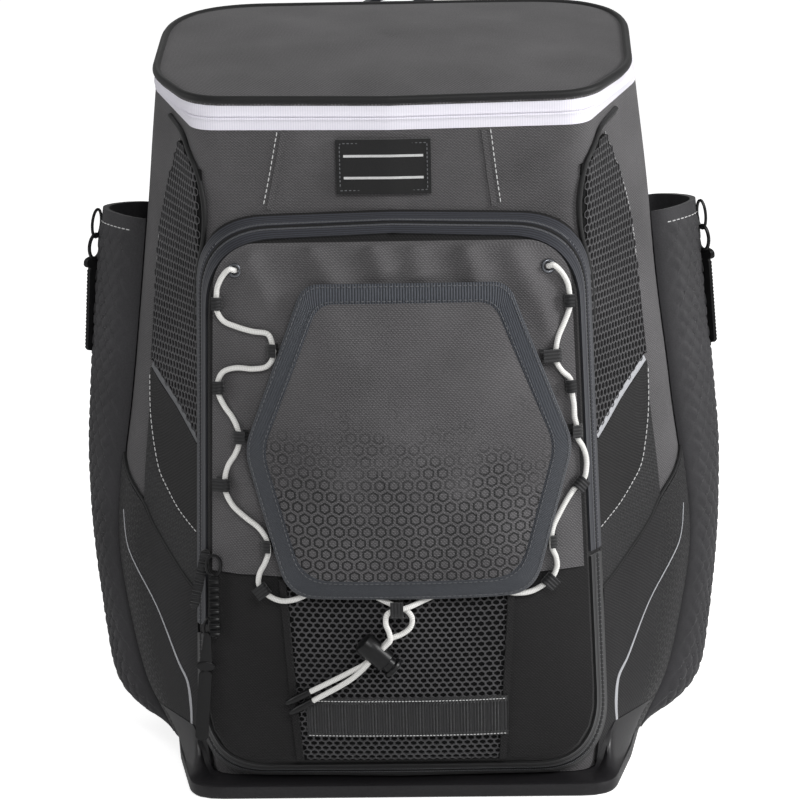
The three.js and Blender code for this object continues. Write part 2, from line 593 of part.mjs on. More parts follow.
function faceSheet([across, along], left, right, low, high, lift, thickness) {
  return sheetSolid(across, along, (u, v, side) => {
    const z = low + (high - low) * Math.sin(v * Math.PI / 2);
    const x = left(z) + (right(z) - left(z)) * (1 - Math.cos(u * Math.PI)) / 2;
    return onFace(x, z, lift + side * thickness);
  });
}

// Thin panels on the side of the body, between two seams
function bodySheet(sign, [across, along], lowSeam, highSeam, lowShift, highShift) {
  const [start, finish] = [lowSeam[0].across, Math.min(
    lowSeam[lowSeam.length - 1].across, highSeam[highSeam.length - 1].across)];
  return sheetSolid(across, along, (u, v, side) => {
    const place = start + (finish - start) * u;
    const height = (seam) => base.height + body.height * tableValue(seam, "across", "high", place);
    const [low, high] = [height(lowSeam) + lowShift, height(highSeam) + highShift];
    return onBody(sign * place, low + (high - low) * v, sidePanel.seat + side * sidePanel.thickness);
  });
}

function batSleeve(sign) {
  return sheetSolid(...sheetSteps.sleeve, (u, v, side) => {
    const place = sleeve.front + (sleeve.rear - sleeve.front) * u;
    const z = sleeve.bottom + (sleeve.top - sleeve.bottom) * v;
    const depth = sleeve.depth * tableValue(sleeveRows, "high", "depth", v);
    const stand = seat + depth * Math.sin(Math.PI * u) ** sleeve.roundness;
    return onBody(sign * place, z, stand + side * sleeve.thickness);
  });
}

// Helmet flap

function flapOutline(inset) {
  const corners = [
    new THREE.Vector2(0, flap.top - inset),
    new THREE.Vector2(flap.halfTop - inset * flap.sideTaper, flap.top - inset),
    new THREE.Vector2(flap.halfMiddle - inset, flap.middle),
    new THREE.Vector2(flap.halfBottom - inset * flap.sideTaper, flap.bottom + inset),
    new THREE.Vector2(0, flap.bottom + inset),
  ];
  return walker(roundedHalf(corners, [flap.radius, flap.radius, flap.radius]));
}

const flapPlaces = [0, 0.5, 0.85, 1, 1.15, 1.5, 1.85, 2, 2.15, 2.5, 2.85, 3, 3.15, 3.5, 4];

function flapPoint(flat, share, lift) {
  const middle = (flap.top + flap.bottom) / 2;
  const [x, z] = [flap.x + flat.x * share, middle + (flat.y - middle) * share];
  return onFace(x, z, lift + flap.arch * (1 - share ** 2));
}

function helmetFlap() {
  const inside = flapOutline(flap.bindingWidth + gap);
  const low = flap.lift + flap.seat;
  const high = low + flap.thickness;
  const ring = (share, lift) => closedLoop(
    (place) => flapPoint(inside(place), share, lift), flapPlaces, bodyEnd);
  return solidThroughLoops([
    ...flapShares.map((share) => ring(share, high)),
    ...flapShares.map((share) => ring(share, low)).reverse(),
  ]);
}

function flapBinding() {
  const [outer, inner] = [flapOutline(0), flapOutline(flap.bindingWidth)];
  const rim = (walk, lift) => closedLoop((place) => flapPoint(walk(place), 1, lift), flapPlaces, bodyEnd);
  const top = flap.lift + flap.bindingThickness;
  const rings = [rim(outer, flap.lift), rim(outer, top), rim(inner, top), rim(inner, flap.lift)];
  const triangles = [];
  for (let k = 0; k < rings.length; k += 1) {
    const [one, two] = [rings[k], rings[(k + 1) % rings.length]];
    for (let i = 0; i < one.length; i += 1) {
      const next = (i + 1) % one.length;
      triangles.push([one[i], one[next], two[next]], [one[i], two[next], two[i]]);
    }
  }
  return geometryFrom(triangles);
}

// A frame on the pocket's face: run along the cord, legs in the face, out away from it
function faceFrame(x, z, run) {
  const out = faceNormal(x, z);
  const along = new THREE.Vector3(run[0], 0, run[1]);
  along.addScaledVector(out, -along.dot(out)).normalize();
  return { out, along, side: new THREE.Vector3().crossVectors(along, out).normalize() };
}

// A U of webbing round the cord, its legs towards the seam it is sewn in
function cordLoop({ x, z, run, legs, leg }, radius = loop.radius, lift = loop.lift) {
  const frame = faceFrame(x, z, run);
  const towards = new THREE.Vector3(legs[0], 0, legs[1]);
  const side = frame.side.clone().multiplyScalar(Math.sign(towards.dot(frame.side)) || 1);
  const centre = onFace(x, z, lift);
  const path = [[leg, 1], [0, 1]];
  for (let i = 1; i < loop.bends; i += 1) {
    const angle = Math.PI * i / loop.bends;
    path.push([-Math.sin(angle), Math.cos(angle)]);
  }
  path.push([0, -1], [leg, -1]);
  return sheetSolid(path.length - 1, 1, (u, v, outside) => {
    const [distance, height] = path[Math.round(u * (path.length - 1))];
    const reach = radius + (outside ? loop.thickness : 0);
    const aside = distance > 0 ? distance : distance * reach;
    return centre.clone().addScaledVector(side, aside).addScaledVector(frame.out, height * reach)
      .addScaledVector(frame.along, (v - 0.5) * loop.width);
  });
}

// Distance from a loop to the flap's edge, measured along its legs
function legToFlap({ x, z, legs }) {
  const middle = new THREE.Vector2(x - flap.x, z);
  const walk = flapOutline(0);
  let nearest = Infinity;
  for (let place = 0; place <= bodyEnd; place += 0.01) {
    const point = walk(Math.sign(middle.x) * Math.max(place, 1e-6));
    const [dx, dz] = [point.x - middle.x, point.y - middle.y];
    if (Math.abs(dz) < loop.width / 2 && dx * legs[0] > 0) nearest = Math.min(nearest, Math.abs(dx));
  }
  return nearest;
}

function routeCurve(route) {
  const points = route.map(([x, z, lift]) => onFace(x, z, lift));
  return new THREE.CatmullRomCurve3(points, false, "centripetal");
}

function bungee(route, steps) {
  const section = new THREE.Shape();
  for (let i = 0; i < cord.sides; i += 1) {
    const angle = Math.PI * 2 * (i + 0.5) / cord.sides;
    const [x, y] = [Math.cos(angle) * cord.diameter / 2, Math.sin(angle) * cord.diameter / 2];
    if (i === 0) section.moveTo(x, y);
    else section.lineTo(x, y);
  }
  section.closePath();
  const extrusion = { steps, extrudePath: routeCurve(route), bevelEnabled: false };
  return tidy(new THREE.ExtrudeGeometry(section, extrusion));
}

function tidy(geometry) {
  geometry.deleteAttribute("normal");
  geometry.deleteAttribute("uv");
  return mergeVertices(geometry, 1e-4);
}

// Joining and cutting solids

function toSolid(geometry) {
  const merged = tidy(geometry.clone());
  const vertProperties = new Float32Array(merged.attributes.position.array);
  const triVerts = new Uint32Array(merged.index.array);
  return new wasm.Manifold(new wasm.Mesh({ numProp: 3, vertProperties, triVerts }));
}

function fromSolid(solid) {
  const result = solid.getMesh();
  const geometry = new THREE.BufferGeometry();
  geometry.setAttribute("position", new THREE.Float32BufferAttribute(result.vertProperties, 3));
  geometry.setIndex([...result.triVerts]);
  return geometry;
}

// Cord lock: the barrel's axis is local +X towards the plunger, local +Y out of the bag

function turned(profile, sides) {
  const points = profile.map(([radius, along]) => new THREE.Vector2(radius, along));
  return new THREE.LatheGeometry(points, sides).rotateZ(-Math.PI / 2);
}

function crossHole(from, to) {
  const depth = lock.radius * 3;
  const cutter = new THREE.BoxGeometry(to - from, lock.holeHeight, depth);
  return cutter.translate((from + to) / 2, 0, 0);
}

function lockBarrel() {
  const barrel = turned([
    [0, -lock.back], [lock.radius - lock.bevel, -lock.back], [lock.radius, lock.bevel - lock.back],
    [lock.radius, lock.front], [lock.bore, lock.front], [lock.bore, lock.endWall - lock.back],
    [0, lock.endWall - lock.back],
  ], lock.sides);
  const half = lock.holeWidth / 2;
  return fromSolid(toSolid(barrel).subtract(toSolid(crossHole(-half, half))));
}

function lockPlunger() {
  const neckEnd = lock.front + lock.neck;
  const flangeEnd = neckEnd + lock.flangeThickness;
  const plunger = turned([
    [0, -lock.stemBack], [lock.stem, -lock.stemBack], [lock.stem, neckEnd], [lock.flangeRadius, neckEnd],
    [lock.flangeRadius, flangeEnd - lock.bevel], [lock.flangeRadius - lock.bevel, flangeEnd], [0, flangeEnd],
  ], lock.sides);
  const half = lock.holeWidth / 2;
  return fromSolid(toSolid(plunger).subtract(toSolid(crossHole(-half, half + lock.travel))));
}

const lockFrame = faceFrame(lock.x, lock.z, [Math.sin(-lock.turn), -Math.cos(lock.turn)]);
const lockAxis = lockFrame.side.clone().multiplyScalar(Math.sign(lockFrame.side.x));
const lockMatrix = new THREE.Matrix4().makeBasis(
  lockAxis, lockFrame.out, new THREE.Vector3().crossVectors(lockAxis, lockFrame.out));
lockMatrix.setPosition(onFace(lock.x, lock.z, lock.lift));

function cordTip(route) {
  const [before, end] = [route[route.length - 2], route[route.length - 1]];
  const [from, start] = [onFace(...before), onFace(...end)];
  const direction = start.clone().sub(from).normalize();
  const moulding = turned([
    [0, gap], [tip.radius, gap], [tip.radius, tip.length * tip.straight], [tip.endRadius, tip.length],
    [0, tip.length],
  ], tip.sides);
  const turn = new THREE.Quaternion().setFromUnitVectors(new THREE.Vector3(1, 0, 0), direction);
  return moulding.applyQuaternion(turn).translate(start.x, start.y, start.z);
}

// Back panel, straps and handle

function backPanel() {
  const shape = new THREE.Shape();
  const [w, low, high, r] = [back.halfWidth, back.bottom, back.top, back.radius];
  shape.moveTo(-w + r, low);
  shape.lineTo(w - r, low);
  shape.quadraticCurveTo(w, low, w, low + r);
  shape.lineTo(w, high - r);
  shape.quadraticCurveTo(w, high, w - r, high);
  shape.lineTo(-w + r, high);
  shape.quadraticCurveTo(-w, high, -w, high - r);
  shape.lineTo(-w, low + r);
  shape.quadraticCurveTo(-w, low, -w + r, low);
  const extrusion = { depth: back.thickness, bevelEnabled: false, curveSegments: 6 };
  return new THREE.ExtrudeGeometry(shape, extrusion).rotateX(Math.PI / 2).translate(0, backFace, 0);
}

function bentStrip(rows, width, thickness, across) {
  const curve = new THREE.CatmullRomCurve3(rows.map((row) => new THREE.Vector3(row.x, row.y, row.z)));
  const steps = (rows.length - 1) * 2;
  return sheetSolid(across, steps, (u, v, side) => {
    const [point, along] = [curve.getPoint(v), curve.getTangent(v)];
    const outward = new THREE.Vector3(0, -along.z, along.y).normalize();
    const wide = new THREE.Vector3().crossVectors(along, outward).normalize();
    if (wide.x < 0) wide.negate();
    const row = v * (rows.length - 1);
    const k = Math.min(Math.floor(row), rows.length - 2);
    const share = THREE.MathUtils.lerp(rows[k].wide, rows[k + 1].wide, row - k);
    return point.addScaledVector(wide, (u - 0.5) * width * share).addScaledVector(outward, side * thickness);
  });
}

// The strap's sections in millimetres, y measured from the face of the back panel
const strapPath = strapRows.map(({ across, behind, high, wide }) => ({
  x: back.halfWidth * across, y: strap.bow * behind, z: back.bottom + (back.top - back.bottom) * high, wide,
}));
const strapEnd = strapPath[strapPath.length - 1];

function placed(rows, sign) {
  return rows.map((row) => ({ ...row, x: sign * row.x, y: backFace + gap + row.y }));
}

function shoulderStrap(sign) {
  return bentStrip(placed(strapPath, sign), strap.width, strap.thickness, 2);
}

function basePanel() {
  const corners = (inset) => [
    new THREE.Vector2(0, base.frontY + inset),
    new THREE.Vector2(base.halfFront - inset, base.frontY + inset),
    new THREE.Vector2(base.halfSide - inset, base.sideY),
    new THREE.Vector2(base.halfRear - inset, base.rearY - inset),
    new THREE.Vector2(0, base.rearY - inset),
  ];
  const ring = (inset, z) => {
    const walk = walker(roundedHalf(corners(inset), [base.frontRadius, base.sideRadius, body.rearRadius]));
    return closedLoop((place) => new THREE.Vector3(walk(place).x, walk(place).y, z), bodyPlaces, bodyEnd);
  };
  return solidThroughLoops([ring(base.chamfer, 0), ring(0, base.chamfer), ring(0, base.height)]);
}

// A bar between two points on a plane y, made of a few widths along its length
function pullBar(from, to, y, widths, thickness) {
  const [start, end] = [new THREE.Vector3(from[0], y, from[1]), new THREE.Vector3(to[0], y, to[1])];
  const along = end.clone().sub(start);
  const aside = new THREE.Vector3(-along.z, 0, along.x).normalize();
  return sheetSolid(1, widths.length - 1, (u, v, side) => {
    const { at, half } = widths[Math.round(v * (widths.length - 1))];
    return start.clone().addScaledVector(along, at).addScaledVector(aside, (u * 2 - 1) * half)
      .add(new THREE.Vector3(0, -side * thickness, 0));
  });
}

function scaledPull(rows) {
  return rows.map(({ at, half }) => ({ at, half: half * pull.width / 2 }));
}

// A sleeve's pull lies against the outside of the sleeve, in a plane across the bag
function sleevePullPiece(sign) {
  const rows = scaledPull(sleevePull);
  const place = (sleeve.front + sleeve.rear) / 2 - pull.forward;
  return sheetSolid(1, rows.length - 1, (u, v, side) => {
    const { at, half } = rows[Math.round(v * (rows.length - 1))];
    const z = sleeve.top - pull.drop - at * pull.sleeveLength;
    const share = (z - sleeve.bottom) / (sleeve.top - sleeve.bottom);
    const reach = sleeve.depth * tableValue(sleeveRows, "high", "depth", share);
    const point = onBody(sign * place, z, reach + sleeve.thickness + 4 * gap + side * pull.thickness);
    point.y += (u * 2 - 1) * half;
    return point;
  });
}

function labelPatch() {
  const [left, low] = [label.x - label.width / 2, base.height + body.height - label.drop - label.height / 2];
  return sheetSolid(...sheetSteps.label, (u, v, side) => {
    const [x, z] = [left + label.width * u, low + label.height * v];
    return new THREE.Vector3(x, bodyFrontY(x, z) - label.seat - side * label.thickness, z);
  });
}

function grommetPiece(sign) {
  const profile = [
    [grommet.inner, 0], [grommet.outer, 0], [grommet.outer, grommet.height / 2],
    [(grommet.inner + grommet.outer) / 2, grommet.height], [grommet.inner, grommet.height / 2],
    [grommet.inner, 0],
  ];
  const ring = new THREE.LatheGeometry(profile.map(([x, y]) => new THREE.Vector2(x, y)), grommet.sides);
  const out = faceNormal(grommet.x, grommet.z);
  out.x *= sign;
  const turn = new THREE.Quaternion().setFromUnitVectors(new THREE.Vector3(0, 1, 0), out);
  const place = onFace(sign * grommet.x, grommet.z, panel.thickness + panel.seat + gap);
  return tidy(ring).applyQuaternion(turn).translate(place.x, place.y, place.z);
}

function strapBuckle(sign) {
  const frame = new THREE.Shape();
  const [w, h] = [buckle.width / 2, buckle.height / 2];
  frame.moveTo(-w, -h).lineTo(w, -h).lineTo(w, h).lineTo(-w, h).closePath();
  const inner = w - buckle.bar;
  for (const [low, high] of [[buckle.bar - h, -buckle.bar / 2], [buckle.bar / 2, h - buckle.bar]]) {
    const slot = new THREE.Path();
    slot.moveTo(-inner, low).lineTo(-inner, high).lineTo(inner, high).lineTo(inner, low).closePath();
    frame.holes.push(slot);
  }
  const plate = new THREE.ExtrudeGeometry(frame, { depth: buckle.thickness, bevelEnabled: false });
  const rearY = backFace + gap + strapEnd.y - buckle.tuck + buckle.thickness;
  return tidy(plate.rotateX(Math.PI / 2)).translate(
    sign * (strapEnd.x + buckle.aside), rearY, strapEnd.z - h - buckle.below);
}

function strapWebbing(sign) {
  const startX = strapEnd.x + buckle.aside + strapWeb.startAside;
  const startZ = strapEnd.z - buckle.height - buckle.below - buckle.webDrop;
  const middleX = (strapEnd.x + strapWeb.endX) / 2 + strapWeb.bend;
  const rows = [
    { x: startX, y: strapEnd.y - buckle.tuck, z: startZ, wide: 1 },
    { x: middleX, y: strapWeb.bow, z: (strapEnd.z + strapWeb.endZ) / 2, wide: 1 },
    { x: strapWeb.endX, y: 0, z: strapWeb.endZ, wide: 1 },
  ];
  return bentStrip(placed(rows, sign), strapWeb.width, strapWeb.thickness, 1);
}

function haulHandle() {
  const low = back.top + 2 * gap;
  return sheetSolid(...sheetSteps.handle, (u, v, side) => {
    const angle = Math.PI * (1 - v);
    const radius = side ? 1 : 1 - handle.thickness / handle.halfSpan;
    const rise = handle.top - low - (side ? 0 : handle.thickness);
    const width = handle.width * THREE.MathUtils.lerp(handle.footShare, 1, Math.sin(angle));
    const y = body.rearY + handle.offset + (u - 0.5) * width;
    const z = low + rise * Math.sin(angle) ** handle.archPower;
    return new THREE.Vector3(handle.halfSpan * radius * Math.cos(angle), y, z);
  });
}

// Model

addPiece("base_panel", basePanel(), "base");
addPiece("main_body", mainBody(), "charcoal");
addPiece("back_panel", backPanel(), "black");
addPiece("top_lid", topLid(), "charcoal");
addPiece("zipper_band_lower", bandPiece(0, band.lowerEnd), "white");
addPiece("zipper_band_upper", bandPiece(band.upperStart, 1), "white");
addPiece("lid_hinge", lidHinge(), "charcoal");
addPiece("front_pocket", frontPocket(), "black");
addPiece("label_patch", labelPatch(), "black");
addPiece("haul_handle", haulHandle(), "graphite");
addPiece("pocket_zipper", zipperTape(-tape.split, tape.split), "graphite");
addPiece("pocket_zipper_lower", zipperTape(tape.lowerStart, 2 * pocketEnd - tape.lowerStart), "black");

const panelEdge = (z) => {
  const up = THREE.MathUtils.clamp((z - faceBottom) / (faceTop - faceBottom), 0, 1);
  const half = pocket.halfBottom + (pocket.halfTop - pocket.halfBottom) * up - pocket.inset - panel.margin;
  const corner = Math.max(0, z - (faceTop - panel.margin - panel.corner)) / panel.corner;
  return half - panel.corner * (1 - Math.sqrt(Math.max(0, 1 - corner ** 2)));
};
addPiece("pocket_panel_upper", faceSheet(sheetSteps.panel, (z) => -panelEdge(z), panelEdge, panel.seamZ,
  faceTop - panel.margin, panel.seat, panel.thickness), "charcoal");
const meshEdge = (z) => mesh.halfBottom + (mesh.halfTop - mesh.halfBottom) * (z - mesh.bottom)
  / (mesh.top - mesh.bottom);
addPiece("pocket_mesh_lower", faceSheet(sheetSteps.mesh, (z) => -meshEdge(z), meshEdge, mesh.bottom, mesh.top,
  mesh.seat, mesh.thickness), "black");
addPiece("gear_webbing", faceSheet(sheetSteps.webbing, () => webbing.left, () => webbing.right, webbing.low,
  webbing.high, mesh.thickness + mesh.seat + gap, webbing.thickness), "black");

for (const [sign, side] of [[-1, "l"], [1, "r"]]) {
  const half = sidePanel.barWidth / 2 + gap;
  addPiece(`side_mesh_${side}`, bodySheet(sign, sheetSteps.sideMesh, barLine, meshTop, half, 0), "black");
  addPiece(`side_wedge_${side}`, bodySheet(sign, sheetSteps.sideWedge, wedgeSeam, barLine, 0, -half),
    "black");
  addPiece(`side_pocket_${side}`, bodySheet(sign, sheetSteps.sidePocket, pocketFoot, pocketSeam, 0, 0),
    "black");
  addPiece(`bat_sleeve_${side}`, batSleeve(sign), "neoprene");
  addPiece(`sleeve_pull_${side}`, sleevePullPiece(sign), "plastic");
  addPiece(`shoulder_strap_${side}`, shoulderStrap(sign), "black");
  addPiece(`strap_buckle_${side}`, strapBuckle(sign), "plastic");
  addPiece(`strap_webbing_${side}`, strapWebbing(sign), "black");
  addPiece(`grommet_${side}`, grommetPiece(sign), "metal");
}

for (const { name, rows, from, to, y, finish } of frontPulls) {
  addPiece(name, pullBar(from, to, y, scaledPull(rows), pull.thickness), finish);
}

addPiece("helmet_flap", helmetFlap(), "charcoal");
addPiece("flap_binding", flapBinding(), "binding");
for (const row of sideLoops) addPiece(row.name, cordLoop(row), "black");
for (const row of flapLoops) addPiece(row.name, cordLoop({ ...row, leg: legToFlap(row) - gap }), "black");
const bottomLeg = flap.bottom - loop.doubleZ - gap;
const bottomLoop = { x: 0, z: loop.doubleZ, run: [1, 0], legs: [0, 1], leg: bottomLeg };
addPiece("bottom_loop", cordLoop(bottomLoop, loop.doubleRadius, loop.doubleLift), "black");
addPiece("bungee_left", bungee(bungeeLeftRoute, cord.steps), "cord");
addPiece("bungee_right", bungee(bungeeRightRoute, cord.steps), "cord");
addPiece("cord_lock_barrel", lockBarrel().applyMatrix4(lockMatrix), "plastic");
addPiece("cord_lock_plunger", lockPlunger().applyMatrix4(lockMatrix), "plastic");
addPiece("cord_tip_a", cordTip(bungeeLeftRoute), "plastic");
addPiece("cord_tip_b", cordTip(bungeeRightRoute), "plastic");

export default group;
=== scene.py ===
# %% [markdown]
# # Dressing a ball player's backpack
# The solids of this bag are already packed as a frame: plain bodies of the right size in the right
# place. This notebook dresses them. Each cell makes one piece of the bag, or one finish, and puts it
# on the solid that it stands for.
# Sizes are written in millimetres, as on a sewing pattern, and turned to metres when a mesh is made.
# The front of the bag faces -Y, +X is the viewer's right and +Z is up.

# %% Load the frame
import math
from types import SimpleNamespace as Sizes

import bmesh
import bpy
from mathutils import Matrix, Vector, noise


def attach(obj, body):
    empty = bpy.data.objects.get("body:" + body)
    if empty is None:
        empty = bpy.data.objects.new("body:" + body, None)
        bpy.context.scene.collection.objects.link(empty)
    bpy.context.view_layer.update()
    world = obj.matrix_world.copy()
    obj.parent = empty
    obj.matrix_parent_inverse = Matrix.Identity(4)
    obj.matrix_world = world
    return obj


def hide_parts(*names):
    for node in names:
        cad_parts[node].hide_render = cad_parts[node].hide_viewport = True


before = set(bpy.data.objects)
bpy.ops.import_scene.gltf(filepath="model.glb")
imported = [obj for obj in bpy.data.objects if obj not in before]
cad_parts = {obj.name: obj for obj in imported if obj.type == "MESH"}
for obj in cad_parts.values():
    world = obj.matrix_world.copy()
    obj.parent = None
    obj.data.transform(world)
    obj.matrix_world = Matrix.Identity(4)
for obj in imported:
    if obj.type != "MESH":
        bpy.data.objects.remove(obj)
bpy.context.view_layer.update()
MM = 0.001


def add_object(name, data):
    thing = bpy.data.objects.new(name, data)
    bpy.context.scene.collection.objects.link(thing)
    return thing


# %% [markdown]
# ## The camera
# The bag was photographed from a little above and almost straight on, with a long lens, so the sides
# hardly converge. Placing the camera first means that every later piece can be judged in its view.

# %% Camera
view = Sizes(azimuth=2.0, elevation=13.0, distance=2200, target=Vector((0, 0, 234)), roll=1.2, lens=153.5)


def place_camera():
    azimuth, elevation = math.radians(view.azimuth), math.radians(view.elevation)
    back = Vector((
        math.sin(azimuth) * math.cos(elevation),
        -math.cos(azimuth) * math.cos(elevation),
        math.sin(elevation),
    ))
    data = bpy.data.cameras.new("camera")
    data.lens = view.lens
    data.sensor_width = 36
    data.clip_end = 20
    camera = add_object("camera", data)
    turn = back.to_track_quat("Z", "Y").to_matrix().to_4x4()
    roll = Matrix.Rotation(-math.radians(view.roll), 4, "Z")
    place = Matrix.Translation((view.target + back * view.distance) * MM)
    camera.matrix_world = place @ turn @ roll
    bpy.context.scene.camera = camera
    return camera


print("camera at", [round(value, 3) for value in place_camera().matrix_world.translation])

# %% [markdown]
# ## Reading tables and walking outlines
# A bag is cut from flat pieces, so its sections are short tables: a height, and how wide and deep the
# bag is there. A smooth curve through each column keeps the cloth free of creases between the rows.
# An outline with rounded corners is walked by a number that is whole at each corner, so 1 is always
# the front corner and 2 the shoulder, at any height. That makes seams easy to place.

# %% Tables and outlines
CORNER_STEPS = 12
MOST_OF_EDGE = 0.46
NEAR_ZERO = 1e-6
SIDES = ((-1, "l"), (1, "r"))


def table_value(rows, column, at):
    """A column of a table whose first column rises, read with a smooth curve through its rows."""
    if at <= rows[0][0]:
        return rows[0][column]
    if at >= rows[-1][0]:
        return rows[-1][column]
    k = max(i for i, row in enumerate(rows) if row[0] <= at)
    low, high = rows[k], rows[k + 1]
    before, after = rows[max(k - 1, 0)], rows[min(k + 2, len(rows) - 1)]
    width = high[0] - low[0]
    slope_low = (high[column] - before[column]) / (high[0] - before[0])
    slope_high = (after[column] - low[column]) / (after[0] - low[0])
    t = (at - low[0]) / width
    value = low[column] * (1 + 2 * t) * (1 - t) ** 2 + high[column] * t * t * (3 - 2 * t)
    return value + width * (slope_low * t * (1 - t) ** 2 - slope_high * t * t * (1 - t))


def seam_height(rows, place):
    """Height of a seam, straight between its rows of (place round the body, height)."""
    rows = sorted(rows)
    if place <= rows[0][0]:
        return rows[0][1]
    for low, high in zip(rows, rows[1:]):
        if place <= high[0]:
            return low[1] + (high[1] - low[1]) * (place - low[0]) / (high[0] - low[0])
    return rows[-1][1]


def rounded_half(corners, radii):
    """Half of a closed outline, with its corners rounded, and where each corner falls in it."""
    corners = [Vector(corner) for corner in corners]
    points, marks = [corners[0]], [0]
    for k in range(1, len(corners) - 1):
        before, after = corners[k - 1] - corners[k], corners[k + 1] - corners[k]
        most = MOST_OF_EDGE * min(before.length, after.length)
        cut = min(radii[k - 1] / math.tan(before.angle(after) / 2), most)
        start = corners[k] + before.normalized() * cut
        finish = corners[k] + after.normalized() * cut
        for i in range(CORNER_STEPS + 1):
            t = i / CORNER_STEPS
            if i == CORNER_STEPS // 2:
                marks.append(len(points))
            points.append(start * (1 - t) ** 2 + corners[k] * (2 * t * (1 - t)) + finish * t * t)
    marks.append(len(points))
    points.append(corners[-1])
    return points, marks


def walker(points, marks):
    """A function that gives the outline's point at a place, mirrored for a place below zero."""
    length = [0.0]
    for one, two in zip(points, points[1:]):
        length.append(length[-1] + (two - one).length)

    def walk(place):
        at = min(abs(place), len(marks) - 1 - 1e-9)
        k = int(at)
        want = length[marks[k]] + (length[marks[k + 1]] - length[marks[k]]) * (at - k)
        i = marks[k] + 1
        while length[i] < want and i < len(points) - 1:
            i += 1
        t = (want - length[i - 1]) / max(length[i] - length[i - 1], 1e-9)
        point = points[i - 1].lerp(points[i], min(max(t, 0), 1))
        if place < 0:
            point.x = -point.x
        return point

    return walk


def sheet_of(spot, columns, rows):
    """Rows of points of a sheet, from a function of its shares across and up."""
    return [[spot(c / columns, r / rows) for c in range(columns + 1)] for r in range(rows + 1)]


def closed_loop(walk, last, steps):
    """Points right round a symmetric outline, starting at its front middle."""
    right = [walk(last * i / steps) for i in range(steps + 1)]
    left = [walk(-last * i / steps) for i in range(steps - 1, 0, -1)]
    return right + left


# %% [markdown]
# ## The face of the front pocket
# The pocket is stuffed, so its face is a crowned sheet: it bulges most in the middle and runs out flat
# at the zipper. One function gives its depth for each x and z. The cord, the flap, the loops and the
# webbing all lie on that face, so they are placed by x, z and a height above it.

# %% Pocket face
pocket = Sizes(
    top=374, corner_top=370, bottom=10.5, half_top=120, half_bottom=131, top_radius=44,
    bottom_radius=42, inset=9, top_slope=1.7, foot_slope=1.4, edge_y=-97, bulge=26, wall=2.5, seat=1.8,
    foot_gap=0.6,
)
face_bottom = pocket.bottom + pocket.inset * pocket.foot_slope
face_top = pocket.top - pocket.inset * pocket.top_slope


def pocket_outline(inset):
    corners = [
        (0, pocket.top - inset * pocket.top_slope),
        (pocket.half_top - inset, pocket.corner_top - inset * pocket.top_slope),
        (pocket.half_bottom - inset, pocket.bottom + inset * pocket.foot_slope),
        (0, pocket.bottom + inset * pocket.foot_slope),
    ]
    return walker(*rounded_half(corners, [pocket.top_radius, pocket.bottom_radius]))


def face_y(x, z):
    up = min(max((z - face_bottom) / (face_top - face_bottom), 0), 1)
    half = pocket.half_bottom + (pocket.half_top - pocket.half_bottom) * up - pocket.inset
    across = min(abs(x) / half, 1)
    return pocket.edge_y - pocket.bulge * math.sqrt(4 * up * (1 - up)) * (1 - across ** 2.5)


def face_normal(x, z):
    step = 1.5
    slope_x = (face_y(x + step, z) - face_y(x - step, z)) / (2 * step)
    slope_z = (face_y(x, z + step) - face_y(x, z - step)) / (2 * step)
    return Vector((slope_x, -1, slope_z)).normalized()


def on_face(x, z, lift=0.0):
    return Vector((x, face_y(x, z), z)) + face_normal(x, z) * lift


print("pocket face:", round(face_top - face_bottom), "mm high, depth", face_y(0, 200))

# %% [markdown]
# ## A small kit for meshes
# Every piece is collected in a Pattern: its points, its faces, and for each corner of a face its place
# on the flat cloth. Weaves and prints are drawn in that flat place, in real millimetres, so they bend
# with the cloth and keep their scale wherever it goes.

# %% Mesh kit


